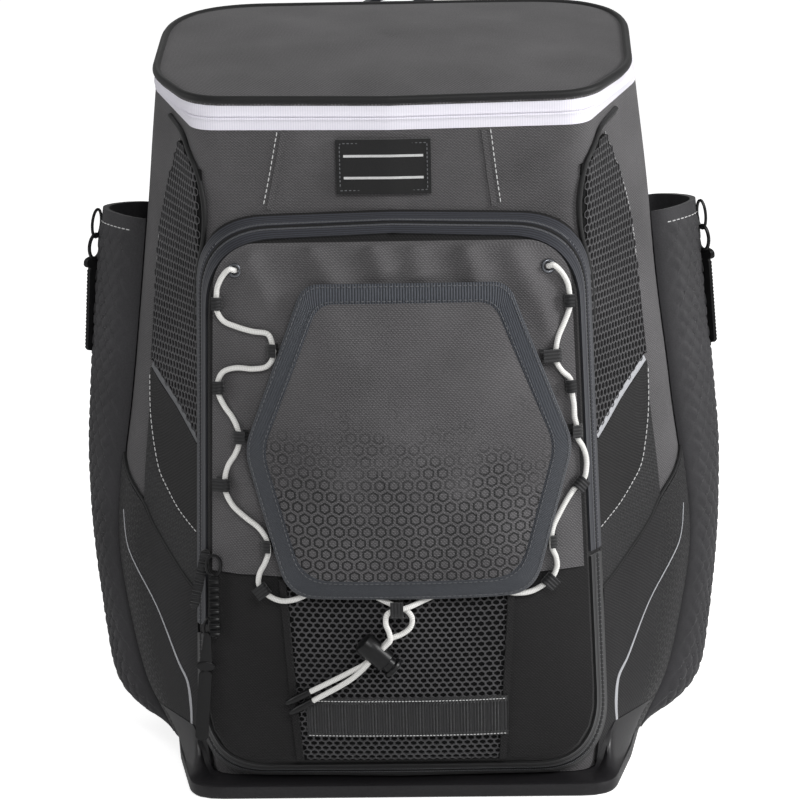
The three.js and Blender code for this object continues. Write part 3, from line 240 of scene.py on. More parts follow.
class Pattern:
    """Points, faces and flat cloth places of one piece, in millimetres."""

    def __init__(self):
        self.points = []
        self.faces = []
        self.flat = []

    def face(self, corners, flat=None):
        self.faces.append(corners)
        self.flat.extend(flat or [(0.0, 0.0)] * len(corners))

    def grid(self, rows, wrap=False, reverse=False):
        """A sheet through rows of points. Its flat places are lengths measured along the sheet."""
        first, width, depth = len(self.points), len(rows[0]), len(rows)
        for row in rows:
            self.points.extend(row)
        middle = width // 2
        up = [0.0]
        for one, two in zip(rows, rows[1:]):
            up.append(up[-1] + (two[middle] - one[middle]).length)
        across, turn = [], []
        for row in rows:
            lengths = [0.0]
            for one, two in zip(row, row[1:] + row[:1]):
                lengths.append(lengths[-1] + (two - one).length)
            shift = 0 if wrap else lengths[middle]
            across.append([value - shift for value in lengths])
            turn.append(lengths[-1])
        for r in range(depth - 1):
            for c in range(width if wrap else width - 1):
                n = (c + 1) % width
                corners = [first + r * width + c, first + r * width + n,
                           first + (r + 1) * width + n, first + (r + 1) * width + c]
                low, high = (turn[r], turn[r + 1]) if wrap and c >= middle else (0, 0)
                flat = [(across[r][c] - low, up[r]), (across[r][c + 1] - low, up[r]),
                        (across[r + 1][c + 1] - high, up[r + 1]), (across[r + 1][c] - high, up[r + 1])]
                if reverse:
                    corners, flat = corners[::-1], flat[::-1]
                self.face(corners, flat)
        return first

    def cap(self, loop, centre, reverse=False):
        """A fan that closes a loop of point numbers."""
        self.points.append(centre)
        tip = len(self.points) - 1
        for i, corner in enumerate(loop):
            corners = [corner, loop[(i + 1) % len(loop)], tip]
            self.face(corners[::-1] if reverse else corners,
                      [(self.points[k].x, self.points[k].y) for k in corners])

    def cap_row(self, first, width, centre, reverse=False):
        """Close a row of a wrapped grid that starts at a point's number."""
        self.cap(list(range(first, first + width)), centre, reverse)

    def loft(self, rows, start, end):
        """A closed body through rows that go right round, with a cap at each end."""
        first, width = self.grid(rows, wrap=True), len(rows[0])
        self.cap_row(first, width, start, reverse=True)
        self.cap_row(first + width * (len(rows) - 1), width, end)

    def vessel(self, outer, inner, outer_tip, inner_tip, upside_down=False):
        """A closed wall between two sets of rows that go right round, open at their last row."""
        width = len(outer[0])
        first = self.grid(outer, wrap=True)
        second = self.grid(inner, wrap=True, reverse=True)
        rim_out, rim_in = first + width * (len(outer) - 1), second + width * (len(inner) - 1)
        for i in range(width):
            n = (i + 1) % width
            self.face([rim_out + i, rim_out + n, rim_in + n, rim_in + i])
        self.cap_row(first, width, outer_tip, reverse=not upside_down)
        self.cap_row(second, width, inner_tip, reverse=upside_down)

    def shell(self, outer, inner):
        """A closed body between two sheets of the same count, with its rims joined."""
        width, depth = len(outer[0]), len(outer)
        one = self.grid(outer)
        two = self.grid(inner, reverse=True)
        pairs = [(c, c + 1) for start in (0, width * (depth - 1)) for c in range(start, start + width - 1)]
        pairs += [(r * width + c, (r + 1) * width + c) for c in (0, width - 1) for r in range(depth - 1)]
        for a, b in pairs:
            self.face([one + a, one + b, two + b, two + a])

    def tube(self, path, radius, sides=8, closed=False):
        """A round cord along a path of points."""
        count = len(path)
        side = None
        rows = []
        for i, point in enumerate(path):
            before = path[i - 1] if i or closed else point
            after = path[(i + 1) % count] if closed or i + 1 < count else point
            along = (after - before).normalized()
            if side is None:
                side = along.orthogonal().normalized()
            side = (side - along * side.dot(along)).normalized()
            other = along.cross(side)
            rows.append([
                point + (side * math.cos(turn) + other * math.sin(turn)) * radius
                for turn in (2 * math.pi * k / sides for k in range(sides))
            ])
        if closed:
            self.grid(rows + rows[:1], wrap=True)
        else:
            self.loft(rows, path[0], path[-1])

    def lathe(self, profile, sides, matrix):
        """A turned body from (radius, along) rows, its axis along the matrix's x."""
        rows = []
        for radius, along in profile:
            rows.append([
                matrix @ Vector((along, radius * math.cos(turn), radius * math.sin(turn)))
                for turn in (2 * math.pi * k / sides for k in range(sides))
            ])
        self.grid(rows, wrap=True)

    def stitch(self, start, end, out, radius):
        """One grain of sewing thread, half sunk in the cloth."""
        along = end - start
        side = along.cross(out).normalized() * radius
        up = out.normalized() * radius
        first, sides = len(self.points), 6
        for share, size in ((0, 0.4), (0.2, 1), (0.8, 1), (1, 0.4)):
            for k in range(sides):
                turn = 2 * math.pi * k / sides
                self.points.append(
                    start + along * share + (side * math.cos(turn) + up * math.sin(turn)) * size)
        for r in range(3):
            for k in range(sides):
                n = (k + 1) % sides
                self.face([first + r * sides + k, first + r * sides + n,
                           first + (r + 1) * sides + n, first + (r + 1) * sides + k])
        self.face(list(range(first, first + sides))[::-1])
        self.face(list(range(first + 3 * sides, first + 4 * sides)))

    def seam(self, path, outs, length=2.6, pitch=3.6, radius=0.35, lift=0.15):
        """A row of stitches along a path of points with their outward directions."""
        travelled, want = 0.0, 0.0
        spots = []
        for i in range(len(path) - 1):
            step = (path[i + 1] - path[i]).length
            while want <= travelled + step:
                t = (want - travelled) / max(step, 1e-9)
                spots.append((path[i].lerp(path[i + 1], t), outs[i].lerp(outs[i + 1], t)))
                want += length if len(spots) % 2 else pitch - length
            travelled += step
        for (start, out), (end, _) in zip(spots[::2], spots[1::2]):
            self.stitch(start + out * lift, end + out * lift, out, radius)


# %% [markdown]
# ### From a pattern to a piece
# A piece is a pattern turned to a mesh in metres, with its finish, on its body. Most
# pieces are one closed sheet or some rows of stitches, so those two have a function of their own.

# %% Pieces


def mesh_of(name, pattern, weld=0.0):
    """A pattern as a mesh in metres, its faces all turned outward."""
    mesh = bpy.data.meshes.new(name)
    mesh.from_pydata([point * MM for point in pattern.points], [], pattern.faces)
    layer = mesh.uv_layers.new(name="flat")
    layer.data.foreach_set("uv", [value * MM for place in pattern.flat for value in place])
    edit = bmesh.new()
    edit.from_mesh(mesh)
    if weld:
        bmesh.ops.remove_doubles(edit, verts=edit.verts, dist=weld * MM)
    bmesh.ops.recalc_face_normals(edit, faces=edit.faces)
    edit.to_mesh(mesh)
    edit.free()
    return mesh


def make_piece(name, pattern, finish, slot, replaces=(), body="bag", sharp=38, weld=0.0, lay=None):
    """Turn a pattern to a mesh object in metres, give it its finish and put it on its body.

    lay gives the two axes of a piece that lies so flat that its cloth places are its own x, y or z.
    """
    if lay:
        pattern.flat = [
            (getattr(pattern.points[k], lay[0]), getattr(pattern.points[k], lay[1]))
            for face in pattern.faces for k in face
        ]
    mesh = mesh_of(name, pattern, weld)
    mesh.polygons.foreach_set("use_smooth", [True] * len(mesh.polygons))
    mesh.set_sharp_from_angle(angle=math.radians(sharp))
    mesh.materials.append(finish)
    piece = add_object(name, mesh)
    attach(piece, body)
    if replaces:
        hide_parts(*replaces)
    print(name, len(mesh.polygons), "faces")
    return piece


def make_sheet(name, outer, inner, *rest, **more):
    """A piece that is one closed sheet between two sides."""
    pattern = Pattern()
    pattern.shell(outer, inner)
    return make_piece(name, pattern, *rest, **more)


def make_seams(name, lines, thread, slot, **stitch):
    """Rows of stitches as one piece, each row a path with its outward directions."""
    pattern = Pattern()
    for path, outs in lines:
        pattern.seam(path, outs, **stitch)
    return make_piece(name, pattern, thread, slot)


# %% Soft curves


def smooth_path(rows, steps=8):
    """Points of a soft curve through rows of numbers, centripetal so that it never loops."""
    points = [Vector(row) for row in rows]
    padded = [points[0] * 2 - points[1]] + points + [points[-1] * 2 - points[-2]]
    path = []
    for a, b, c, d in zip(padded, padded[1:], padded[2:], padded[3:]):
        knots = [0.0]
        for one, two in ((a, b), (b, c), (c, d)):
            knots.append(knots[-1] + max((two - one).length, 1e-6) ** 0.5)
        for i in range(steps):
            t = knots[1] + (knots[2] - knots[1]) * i / steps
            ab = a.lerp(b, (t - knots[0]) / (knots[1] - knots[0]))
            bc = b.lerp(c, (t - knots[1]) / (knots[2] - knots[1]))
            cd = c.lerp(d, (t - knots[2]) / (knots[3] - knots[2]))
            abc = ab.lerp(bc, (t - knots[0]) / (knots[2] - knots[0]))
            bcd = bc.lerp(cd, (t - knots[1]) / (knots[3] - knots[1]))
            path.append(abc.lerp(bcd, (t - knots[1]) / (knots[2] - knots[1])))
    return path + [points[-1]]


# %% [markdown]
# ## Finishes, and how they are written
# A finish is a material with the name of the real stuff. One function adds a node with its settings
# and its links. Colours are sRGB hex values as read from the object, turned to linear by one function,
# because Blender's shader works in linear light.

# %% Finish kit


def linear(hex_colour):
    values = [int(hex_colour[i:i + 2], 16) / 255 for i in (1, 3, 5)]
    turned = [v / 12.92 if v <= 0.04045 else ((v + 0.055) / 1.055) ** 2.4 for v in values]
    return (*turned, 1.0)


def add_node(tree, kind, inputs=None, **settings):
    """Add one node, set what it is told and link or fill its inputs."""
    node = tree.nodes.new(kind)
    for key, value in settings.items():
        setattr(node, key, value)
    for key, value in (inputs or {}).items():
        if isinstance(value, bpy.types.NodeSocket):
            tree.links.new(value, node.inputs[key])
        else:
            node.inputs[key].default_value = value
    return node


def new_finish(name, **values):
    """A material with its shader's own sockets set, and its tree and shader to build on."""
    material = bpy.data.materials.new(name)
    material.use_nodes = True
    tree = material.node_tree
    shader = tree.nodes["Principled BSDF"]
    shader.inputs["Specular IOR Level"].default_value = 0.3
    for key, value in values.items():
        shader.inputs[key.capitalize()].default_value = value
    return material, tree, shader


# Blender's wave texture runs twenty radians a unit along one axis and ten along a diagonal
def wave_scale(pitch, diagonal=False):
    per_unit = 10 if diagonal else 20
    run = pitch * MM * (math.sqrt(2) if diagonal else 1)
    return 2 * math.pi / per_unit / run


def colour_between(tree, shader, share, dark, light):
    mixed = add_node(tree, "ShaderNodeMix", {"Factor": share, 6: linear(dark), 7: linear(light)},
                     data_type="RGBA")
    tree.links.new(mixed.outputs[2], shader.inputs["Base Color"])


def maths(tree, operation, *values, clamp=False):
    return add_node(tree, "ShaderNodeMath", dict(enumerate(values)), operation=operation,
                    use_clamp=clamp).outputs[0]


def vector_maths(tree, operation, *values):
    return add_node(tree, "ShaderNodeVectorMath", dict(enumerate(values)), operation=operation)


def mottle(tree, flat, scale, detail):
    """A cloud of light and dark over the flat cloth."""
    cloud = add_node(tree, "ShaderNodeTexNoise", {"Vector": flat, "Scale": scale, "Detail": detail})
    return cloud.outputs[0]


def relief(tree, shader, height, depth, strength, over=None):
    """A relief so many millimetres deep, on top of another where one is given."""
    inputs = {"Height": height, "Distance": depth * MM, "Strength": strength}
    if over:
        inputs["Normal"] = over
    bump = add_node(tree, "ShaderNodeBump", inputs).outputs[0]
    tree.links.new(bump, shader.inputs["Normal"])
    return bump


# %% [markdown]
# ### Polyester twill
# The panels are 600 denier polyester in a 2/2 twill, coated on the back. A twill has fine ribs that
# run up to the right. Real ribs are about 0.7 mm apart, too fine for this view, so they are drawn
# 1.5 mm apart, in relief and in colour: the colour is darker in the rib valleys, as painted shade,
# and lighter on the crests, as painted highlight. A soft cloud of light and dark shows where the
# cloth has been handled, and a little sheen gives the dusty edge that brushed polyester has.

# %% Twill finishes
TWILL_PITCH, TWILL_DEPTH, TWILL_ROUGHNESS = 1.5, 0.22, 0.82
YARN_PITCH = 1.1


def twill(name, dark, light):
    material, tree, shader = new_finish(name, roughness=TWILL_ROUGHNESS)
    shader.inputs["Sheen Weight"].default_value = 0.08
    shader.inputs["Sheen Roughness"].default_value = 0.5
    flat = add_node(tree, "ShaderNodeUVMap", uv_map="flat").outputs[0]
    ribs = add_node(tree, "ShaderNodeTexWave", {
        "Vector": flat, "Scale": wave_scale(TWILL_PITCH, True), "Distortion": 0.6, "Detail": 1,
        "Detail Scale": 3,
    }, bands_direction="DIAGONAL").outputs["Fac"]
    yarn = add_node(tree, "ShaderNodeTexWave", {
        "Vector": flat, "Scale": wave_scale(YARN_PITCH), "Distortion": 0.5,
    }, bands_direction="Y").outputs["Fac"]
    weave_height_and_shade = maths(tree, "MULTIPLY", ribs, yarn)
    cloud = mottle(tree, flat, 16, 3)
    speck = mottle(tree, flat, 900, 1)
    # The weave's height sets part of the colour: painted shade in the rib valleys and painted highlight on
    # the crests. The cloud and the specks are the cloth's own tone.
    share = maths(tree, "MULTIPLY_ADD", weave_height_and_shade, 0.55, -0.05)
    share = maths(tree, "MULTIPLY_ADD", cloud, 0.5, share)
    share = maths(tree, "MULTIPLY_ADD", speck, 0.35, share)
    share = maths(tree, "SUBTRACT", share, 0.22, clamp=True)
    colour_between(tree, shader, share, dark, light)
    return material, tree, shader, flat, relief(tree, shader, weave_height_and_shade, TWILL_DEPTH, 0.9)


charcoal_twill = twill("charcoal_polyester_twill", "#383738", "#777577")[0]
black_twill = twill("black_polyester_twill", "#0c0b0c", "#262526")[0]
print("twill:", charcoal_twill.name, black_twill.name)

# %% [markdown]
# ### Twill with a printed pattern
# The flap and the sides carry a tone-on-tone print that fades out, like a halftone. Here it is a field
# of hexagon rings. A hexagon field is two brick fields laid over each other: for each point the nearer
# of the two middles is found, and the ring is the band at one distance from it.

# %% Ring print
ROOT3 = math.sqrt(3)
INK_RADIUS, INK_HALF_WIDTH, INK_ROUGHNESS = 0.33, 0.07, 0.45


def hexagon_distance(tree, flat, pitch, shift):
    """Distance from the middle of the nearest hexagon of one of the two brick fields, 0 to 0.5."""
    place = vector_maths(tree, "MULTIPLY", flat, (1 / (pitch * MM),) * 3).outputs[0]
    moved = vector_maths(tree, "ADD", place, shift).outputs[0]
    cell = vector_maths(tree, "WRAP", moved, (0.5, ROOT3 / 2, 1), (-0.5, -ROOT3 / 2, -1)).outputs[0]
    size = vector_maths(tree, "ABSOLUTE", cell).outputs[0]
    slant = vector_maths(tree, "DOT_PRODUCT", size, (0.5, ROOT3 / 2, 0)).outputs["Value"]
    straight = add_node(tree, "ShaderNodeSeparateXYZ", {0: size}).outputs[0]
    return maths(tree, "MAXIMUM", slant, straight)


def ring_mask(tree, flat, pitch, radius, half_width):
    one = hexagon_distance(tree, flat, pitch, (0, 0, 0))
    two = hexagon_distance(tree, flat, pitch, (0.5, ROOT3 / 2, 0))
    near = maths(tree, "MINIMUM", one, two)
    return maths(tree, "COMPARE", near, radius, half_width)


def fade(tree, flat, axis, start, finish):
    """A share that rises from 0 at start to 1 at finish along one flat axis, in millimetres."""
    value = add_node(tree, "ShaderNodeSeparateXYZ", {0: flat}).outputs[axis]
    return add_node(tree, "ShaderNodeMapRange", {
        "Value": value, "From Min": start * MM, "From Max": finish * MM,
    }).outputs[0]


def printed_twill(name, dark, light, ink, pitch, axis, start, finish):
    """Twill with rings of ink that grow stronger along one axis of the cloth."""
    material, tree, shader, flat, bump = twill(name, dark, light)
    rings = ring_mask(tree, flat, pitch, INK_RADIUS, INK_HALF_WIDTH)
    strong = fade(tree, flat, axis, start, finish)
    ragged = mottle(tree, flat, 45, 2)
    strong = maths(tree, "SUBTRACT", strong, ragged)
    strong = maths(tree, "MULTIPLY_ADD", strong, 2.2, 0.45, clamp=True)
    mask = maths(tree, "MULTIPLY", rings, strong)
    base = shader.inputs["Base Color"].links[0].from_socket
    mixed = add_node(tree, "ShaderNodeMix", {"Factor": mask, 6: base, 7: linear(ink)}, data_type="RGBA")
    tree.links.new(mixed.outputs[2], shader.inputs["Base Color"])
    rough = add_node(tree, "ShaderNodeMapRange", {
        "Value": mask, "To Min": TWILL_ROUGHNESS, "To Max": INK_ROUGHNESS,
    })
    tree.links.new(rough.outputs[0], shader.inputs["Roughness"])
    relief(tree, shader, mask, 0.3, 0.8, bump)
    return material


flap_print = printed_twill("printed_twill_of_the_flap", "#383738", "#777577", "#1a1a1b", 8.5, 1, 150, 30)
side_print = printed_twill("printed_twill_of_the_side", "#161616", "#38373a", "#08080a", 8.0, 1, -60, 20)
pocket_print = printed_twill("printed_twill_of_the_side_pocket", "#0f0e10", "#262527", "#040405", 8.0, 0,
                             -10, 30)
print("prints:", flap_print.name, side_print.name, pocket_print.name)

# %% [markdown]
# ### Tapes, webbing and bindings
# Narrow goods are woven with a rib across them, so one function makes them all: the rib's pitch and
# colour change, the idea doesn't. A zipper tape is fine and flat, a gear loop's webbing has bold ribs,
# and the flap's binding is a grosgrain whose ribs catch the light. The ribs are drawn in the colour
# as well: darker in their valleys, as painted shade, and lighter on their crests, as painted highlight,
# over fine specks of the yarn's own tone.

# %% Narrow goods


def ribbed(name, dark, light, pitch, along="Y", depth=0.25, roughness=0.7):
    material, tree, shader = new_finish(name, roughness=roughness)
    shader.inputs["Sheen Weight"].default_value = 0.2
    flat = add_node(tree, "ShaderNodeUVMap", uv_map="flat").outputs[0]
    ribs = add_node(tree, "ShaderNodeTexWave", {
        "Vector": flat, "Scale": wave_scale(pitch), "Distortion": 0.25, "Detail": 1,
    }, bands_direction=along).outputs["Fac"]
    speck = mottle(tree, flat, 700, 2)
    # Colour follows the rib height: painted shade in the valleys and painted highlight on the crests, with
    # the specks as the yarn's own tone.
    height = maths(tree, "MULTIPLY_ADD", speck, 0.5, ribs)
    share = maths(tree, "MULTIPLY_ADD", height, 0.75, -0.1, clamp=True)
    colour_between(tree, shader, share, dark, light)
    relief(tree, shader, height, depth, 0.9)
    return material


graphite_tape = ribbed("graphite_zipper_tape", "#17181d", "#34363e", 1.3, depth=0.12)
# A darker copy of the zipper tape: painted shade for the lower run of the pocket's zipper.
shaded_lower_zipper_tape = ribbed("zipper_tape_with_painted_shade", "#0c0c0d", "#212123", 1.3, depth=0.12)
webbing = ribbed("black_polyester_webbing", "#0a0a0b", "#242426", 2.1, depth=0.35, roughness=0.55)
sheath = ribbed("braided_bungee_sheath", "#cfcecb", "#efeeeb", 1.1, depth=0.05, roughness=0.55)
print("narrow goods: 4")

# %% [markdown]
# ### Neoprene, knitted mesh, coated base cloth and thread
# The bat sleeves are neoprene with a moulded relief, faced with a fine knit. The air mesh is a knitted
# spacer whose holes are real holes here, so its finish is only the yarn. The base is a smooth coated
# cloth that wipes clean. Thread and the reflective tape are small but they catch the light.

# %% Other soft finishes


def speckled(name, dark, light, grain, depth, roughness, sheen=0.0, coat=0.0):
    """A finish with an even fine grain, for knits, coatings and foam."""
    material, tree, shader = new_finish(name, roughness=roughness)
    shader.inputs["Sheen Weight"].default_value = sheen
    shader.inputs["Coat Weight"].default_value = coat
    flat = add_node(tree, "ShaderNodeTexCoord").outputs["Object"]
    fine = mottle(tree, flat, 1 / (grain * MM), 2)
    cloud = mottle(tree, flat, 14, 2)
    share = maths(tree, "MULTIPLY_ADD", fine, 0.9, -0.25)
    share = maths(tree, "MULTIPLY_ADD", cloud, 0.7, share, clamp=True)
    colour_between(tree, shader, share, dark, light)
    relief(tree, shader, fine, depth, 0.8)
    return material


neoprene = speckled("embossed_neoprene", "#161617", "#38373a", 0.9, 0.1, 0.6, sheen=0.1)
mesh_yarn = speckled("spacer_mesh_yarn", "#252526", "#535254", 0.7, 0.1, 0.55, sheen=0.1)
mesh_ground = speckled("spacer_mesh_ground", "#020202", "#070708", 1.2, 0.1, 0.95)
base_cloth = speckled("coated_base_cloth", "#121113", "#272628", 1.4, 0.08, 0.42, coat=0.1)
piping_cloth = speckled("black_piping_cloth", "#080808", "#1c1c1d", 0.8, 0.1, 0.55, sheen=0.1)
light_thread = speckled("light_sewing_thread", "#9c9c9c", "#dcdcdc", 0.5, 0.05, 0.5)
dark_thread = speckled("black_sewing_thread", "#0c0c0c", "#242425", 0.5, 0.05, 0.5)
silver_tape = speckled("reflective_silver_tape", "#8f9094", "#b9babe", 0.6, 0.03, 0.35, coat=0.2)
# Grey tape for stitches and coil rows; the left reflective bar takes it too, as painted shade of the silver
# tape.
grey_stitching_and_shaded_bar = speckled("grey_stitching_and_painted_shade_bar", "#4c4d50", "#6a6b6e", 0.6, 0.03, 0.4, coat=0.2)
air_knit = speckled("back_panel_air_knit", "#0c0c0d", "#262628", 1.6, 0.3, 0.85, sheen=0.15)
acetal = speckled("moulded_black_acetal", "#09090a", "#161617", 1.5, 0.03, 0.34)
print("soft finishes: 11")

# %% Metal finish
gunmetal, _, gunmetal_shader = new_finish("gunmetal_plated_brass", metallic=1.0, roughness=0.32)
gunmetal_shader.inputs["Base Color"].default_value = linear("#77797e")

# %% [markdown]
# ## The bungee cord
# A 3.4 mm elastic cord with a braided sheath comes out of each grommet, zigzags down its side through
# the webbing loops, passes through the cord lock and ends in a moulded tip. The route is a list of
# chosen points: x, z and the height of the cord's middle above the pocket's face. The cords come early
# because everything else has to make room for them.

# %% Bungee routes
cord = Sizes(diameter=3.4, sides=14, steps=9)
LEFT_ROUTE = [
    (-95, 340, 2.2), (-95.1, 340.2, 4.6), (-97, 341, 7), (-101, 337.5, 6), (-105, 330, 4.8),
    (-105.5, 324, 5.2), (-105.5, 316, 5.2), (-102, 309.5, 4.6), (-94, 306, 4.4), (-84, 303.5, 4.4),
    (-74.4, 302, 4.8), (-72, 296.5, 5.2), (-71.5, 288.5, 5.2), (-75.5, 282.5, 4.6), (-84, 280.5, 4.4),
    (-95, 280.5, 4.4), (-102.5, 277.5, 4.8), (-105.5, 272, 5.2), (-105.5, 264, 5.2),
    (-102.5, 256.5, 4.6), (-97.5, 249.5, 4.6), (-94, 242, 5.2), (-93.5, 234, 5.2), (-96.5, 226.5, 4.6),
    (-101, 219, 4.6), (-103, 211, 5.2), (-103, 203, 5.2), (-99, 194, 4.6), (-91, 187, 4.6),
    (-83, 181, 4.6), (-78.5, 174.5, 5.2), (-77.5, 166.5, 5.2), (-80, 159, 4.6), (-83.5, 152, 4.8),
    (-84, 145, 5.2), (-78.5, 138.5, 5.2), (-71, 135, 3.8), (-63, 136, 3.1), (-55, 139.5, 3),
    (-45, 142, 3), (-31, 142.5, 3), (-17, 140.5, 3), (-7, 136, 4.3), (0, 132.8, 5.1), (6, 130.2, 5.1),
    (9, 125.5, 5.2), (8, 120, 5.6), (3, 115.8, 6.4), (-4.4, 112.9, 7.4), (-8, 109.3, 7.45),
    (-13, 104, 7.45), (-18, 98.7, 7.45), (-22, 95.4, 7.3), (-29, 91.3, 6.9), (-38, 86.2, 6.6),
    (-46.5, 81.6, 6.6), (-54.5, 77.2, 6.6),
]
RIGHT_ROUTE = [
    (95, 340, 2.2), (95.1, 340.2, 4.6), (97, 341, 7), (101.5, 337, 6), (105.5, 330, 4.8),
    (106.5, 323, 5.2), (106.5, 315, 5.2), (103.5, 306, 4.6), (99.5, 297, 4.6), (97.8, 290, 5.2),
    (97.8, 282, 5.2), (101, 276, 4.8), (106, 270, 5.2), (106.8, 262, 5.2), (108, 254, 5),
    (108.3, 246, 5), (109.2, 241.5, 5.2), (109.6, 233.5, 5.2), (113, 227, 5), (117.5, 220, 5),
    (117.5, 212.5, 5), (113.5, 206.5, 5.2), (108, 201.5, 5.2), (103.5, 195, 4.8), (99, 187, 4.6),
    (95.2, 179.5, 4.8), (93.8, 174, 5.2), (93.8, 166, 5.2), (96.3, 159.5, 4.8), (97, 153.5, 4.8),
    (94.4, 147.4, 5.2), (89, 142.6, 4.9), (81.5, 138.6, 3.8), (73, 138, 3.1), (63, 140.5, 3),
    (51, 142, 3), (38, 142, 3), (27, 140.5, 3), (17, 136.6, 3.4), (10, 134.2, 6.6), (4.5, 132.8, 8.6),
    (-1, 132, 9), (-6, 129.5, 9.3), (-7, 123.5, 9.6), (-5, 117.8, 10.2), (-4.6, 113.1, 11.2),
    (-8, 109.3, 11.35), (-13, 104, 11.35), (-18, 98.7, 11.35), (-21.6, 94.4, 10.9), (-28.5, 87.6, 9.4),
    (-37, 81.2, 7.6), (-45.5, 75.9, 7), (-53, 71.3, 6.8),
]


def path_length(path):
    return sum((two - one).length for one, two in zip(path, path[1:]))


def bungee(name, route):
    path = smooth_path([on_face(*row) for row in route], cord.steps)
    pattern = Pattern()
    pattern.tube(path, cord.diameter / 2, cord.sides)
    piece = make_piece(name, pattern, sheath, "bungee", [name.replace("bungee_cord", "bungee")])
    return piece, path


left_cord, left_path = bungee("bungee_cord_left", LEFT_ROUTE)
right_cord, right_path = bungee("bungee_cord_right", RIGHT_ROUTE)
print("cord lengths in mm:", round(path_length(left_path)), round(path_length(right_path)))

# %% [markdown]
# Each free end is dipped in a black moulded tip, a little tapered so that it threads through the lock.
# The tips are turned bodies along the last stretch of their cord.

# %% Cord tips
tip = Sizes(length=18, radius=2.4, end_radius=1.8, gap=0.3, sides=24)


def axis_matrix(origin, axis, out=Vector((0, -1, 0))):
    """A frame with its x along the axis and its y as near to out as it can be."""
    x = axis.normalized()
    z = x.cross(out).normalized()
    y = z.cross(x)
    return Matrix((
        (x.x, y.x, z.x, origin.x), (x.y, y.y, z.y, origin.y), (x.z, y.z, z.z, origin.z), (0, 0, 0, 1),
    ))


def cord_tip(name, route):
    before, end = on_face(*route[-2]), on_face(*route[-1])
    matrix = axis_matrix(end, end - before)
    profile = [
        (0.01, tip.gap), (tip.radius - 0.4, tip.gap), (tip.radius, tip.gap + 0.5),
        (tip.radius, tip.length * 0.6), (tip.end_radius, tip.length - 1),
        (tip.end_radius - 0.8, tip.length), (0.01, tip.length),
    ]
    pattern = Pattern()
    pattern.lathe(profile, tip.sides, matrix)
    return make_piece(name.replace("cord_tip", "moulded_tip"), pattern, acetal, "acetal", [name])


tip_a = cord_tip("cord_tip_a", LEFT_ROUTE)
tip_b = cord_tip("cord_tip_b", RIGHT_ROUTE)
for piece, path, end in ((left_cord, left_path, tip_a), (right_cord, right_path, tip_b)):
    path_length(path) * MM
    [point * MM for point in path]

# %% [markdown]
# ## The body's surface
# The body is a lofted shell: at each height a rounded outline, wider at the middle than at the rim.
# It is worked out once on a grid, and every seam, panel and sleeve is then placed by how far round
# the body it lies and how high. A faint ripple keeps the cloth from looking like moulded plastic.

# %% Body surface
body = Sizes(
    low=9, height=414, wall=3, half_front=117, half_side=186, front_y=-80, rear_y=103,
    front_radius=16, side_radius=75, rear_radius=42, crown=7, rim_slope=0.12, slope_start=0.75, floor=3,
    gap=0.3,
)
# height, front width, front depth, side width, side depth, rear width, rear depth
BODY_ROWS = [
    (0.00, 1.00, 1.00, 0.800, -8, 0.870, 0.95),
    (0.04, 1.01, 1.02, 0.845, -6, 0.900, 0.98),
    (0.10, 1.02, 1.03, 0.912, -4, 0.930, 1.00),
    (0.20, 1.02, 1.03, 0.966, -2, 0.970, 1.00),
    (0.31, 1.02, 1.03, 1.000, 0, 0.985, 1.00),
    (0.42, 1.01, 1.02, 0.985, 2, 0.975, 1.00),
    (0.54, 1.00, 1.00, 0.945, 5, 0.945, 1.00),
    (0.75, 1.00, 1.00, 0.890, 15, 0.895, 1.00),
    (0.91, 1.00, 1.00, 0.850, 20, 0.850, 1.00),
    (1.00, 1.02, 1.03, 0.825, 20, 0.825, 1.00),
]
GRID_ROWS, GRID_COLUMNS = 120, 50


def body_section(share):
    front, front_y, side, side_y, rear, rear_y = (
        table_value(BODY_ROWS, column, share) for column in range(1, 7))
    half, front_depth = body.half_front * front, body.front_y * front_y
    corners = [
        (0, front_depth), (half, front_depth), (body.half_side * side, side_y),
        (body.half_side * rear, body.rear_y * rear_y), (0, body.rear_y * rear_y),
    ]
    points, marks = rounded_half(corners, [body.front_radius, body.side_radius, body.rear_radius])
    for point in points:
        if point.y < front_depth * 0.6:
            point.y -= body.crown * max(0, 1 - (point.x / half) ** 2)
    walk = walker(points, marks)
    return [walk(i / GRID_COLUMNS) for i in range(4 * GRID_COLUMNS + 1)]


BODY_GRID = [body_section(row / GRID_ROWS) for row in range(GRID_ROWS + 1)]


def body_point(place, z):
    share = min(max((z - body.low) / body.height, 0), 1)
    row = min(int(share * GRID_ROWS), GRID_ROWS - 1)
    column = min(int(abs(place) * GRID_COLUMNS), 4 * GRID_COLUMNS - 1)
    up, across = share * GRID_ROWS - row, abs(place) * GRID_COLUMNS - column
    low = BODY_GRID[row][column].lerp(BODY_GRID[row][column + 1], across)
    high = BODY_GRID[row + 1][column].lerp(BODY_GRID[row + 1][column + 1], across)
    flat = low.lerp(high, up)
    rise = max(0, (share - body.slope_start) / (1 - body.slope_start))
    lifted = z + body.rim_slope * rise * (flat.y - body.front_y + body.crown)
    return Vector((-flat.x if place < 0 else flat.x, flat.y, lifted))


def ripple(point):
    """How far the cloth stands in or out at a point, fading out towards the rim and the base."""
    share = (point.z - body.low) / body.height
    calm = min(1, max(0, 6 * share)) * min(1, max(0, 6 * (1 - share)))
    return 1.3 * calm * noise.noise(Vector((point.x / 48, point.y / 48, point.z / 85)))


def body_normal(place, z):
    along = body_point(place + 0.02, z) - body_point(place - 0.02, z)
    up = body_point(place, min(z + 2, body.low + body.height)) - body_point(place, max(z - 2, body.low))
    return along.cross(up).normalized()


def on_body(place, z, lift=0.0):
    point = body_point(place, z)
    return point + body_normal(place, z) * (lift + ripple(point))


print("body at half height reaches", [round(v) for v in on_body(2, 220)])

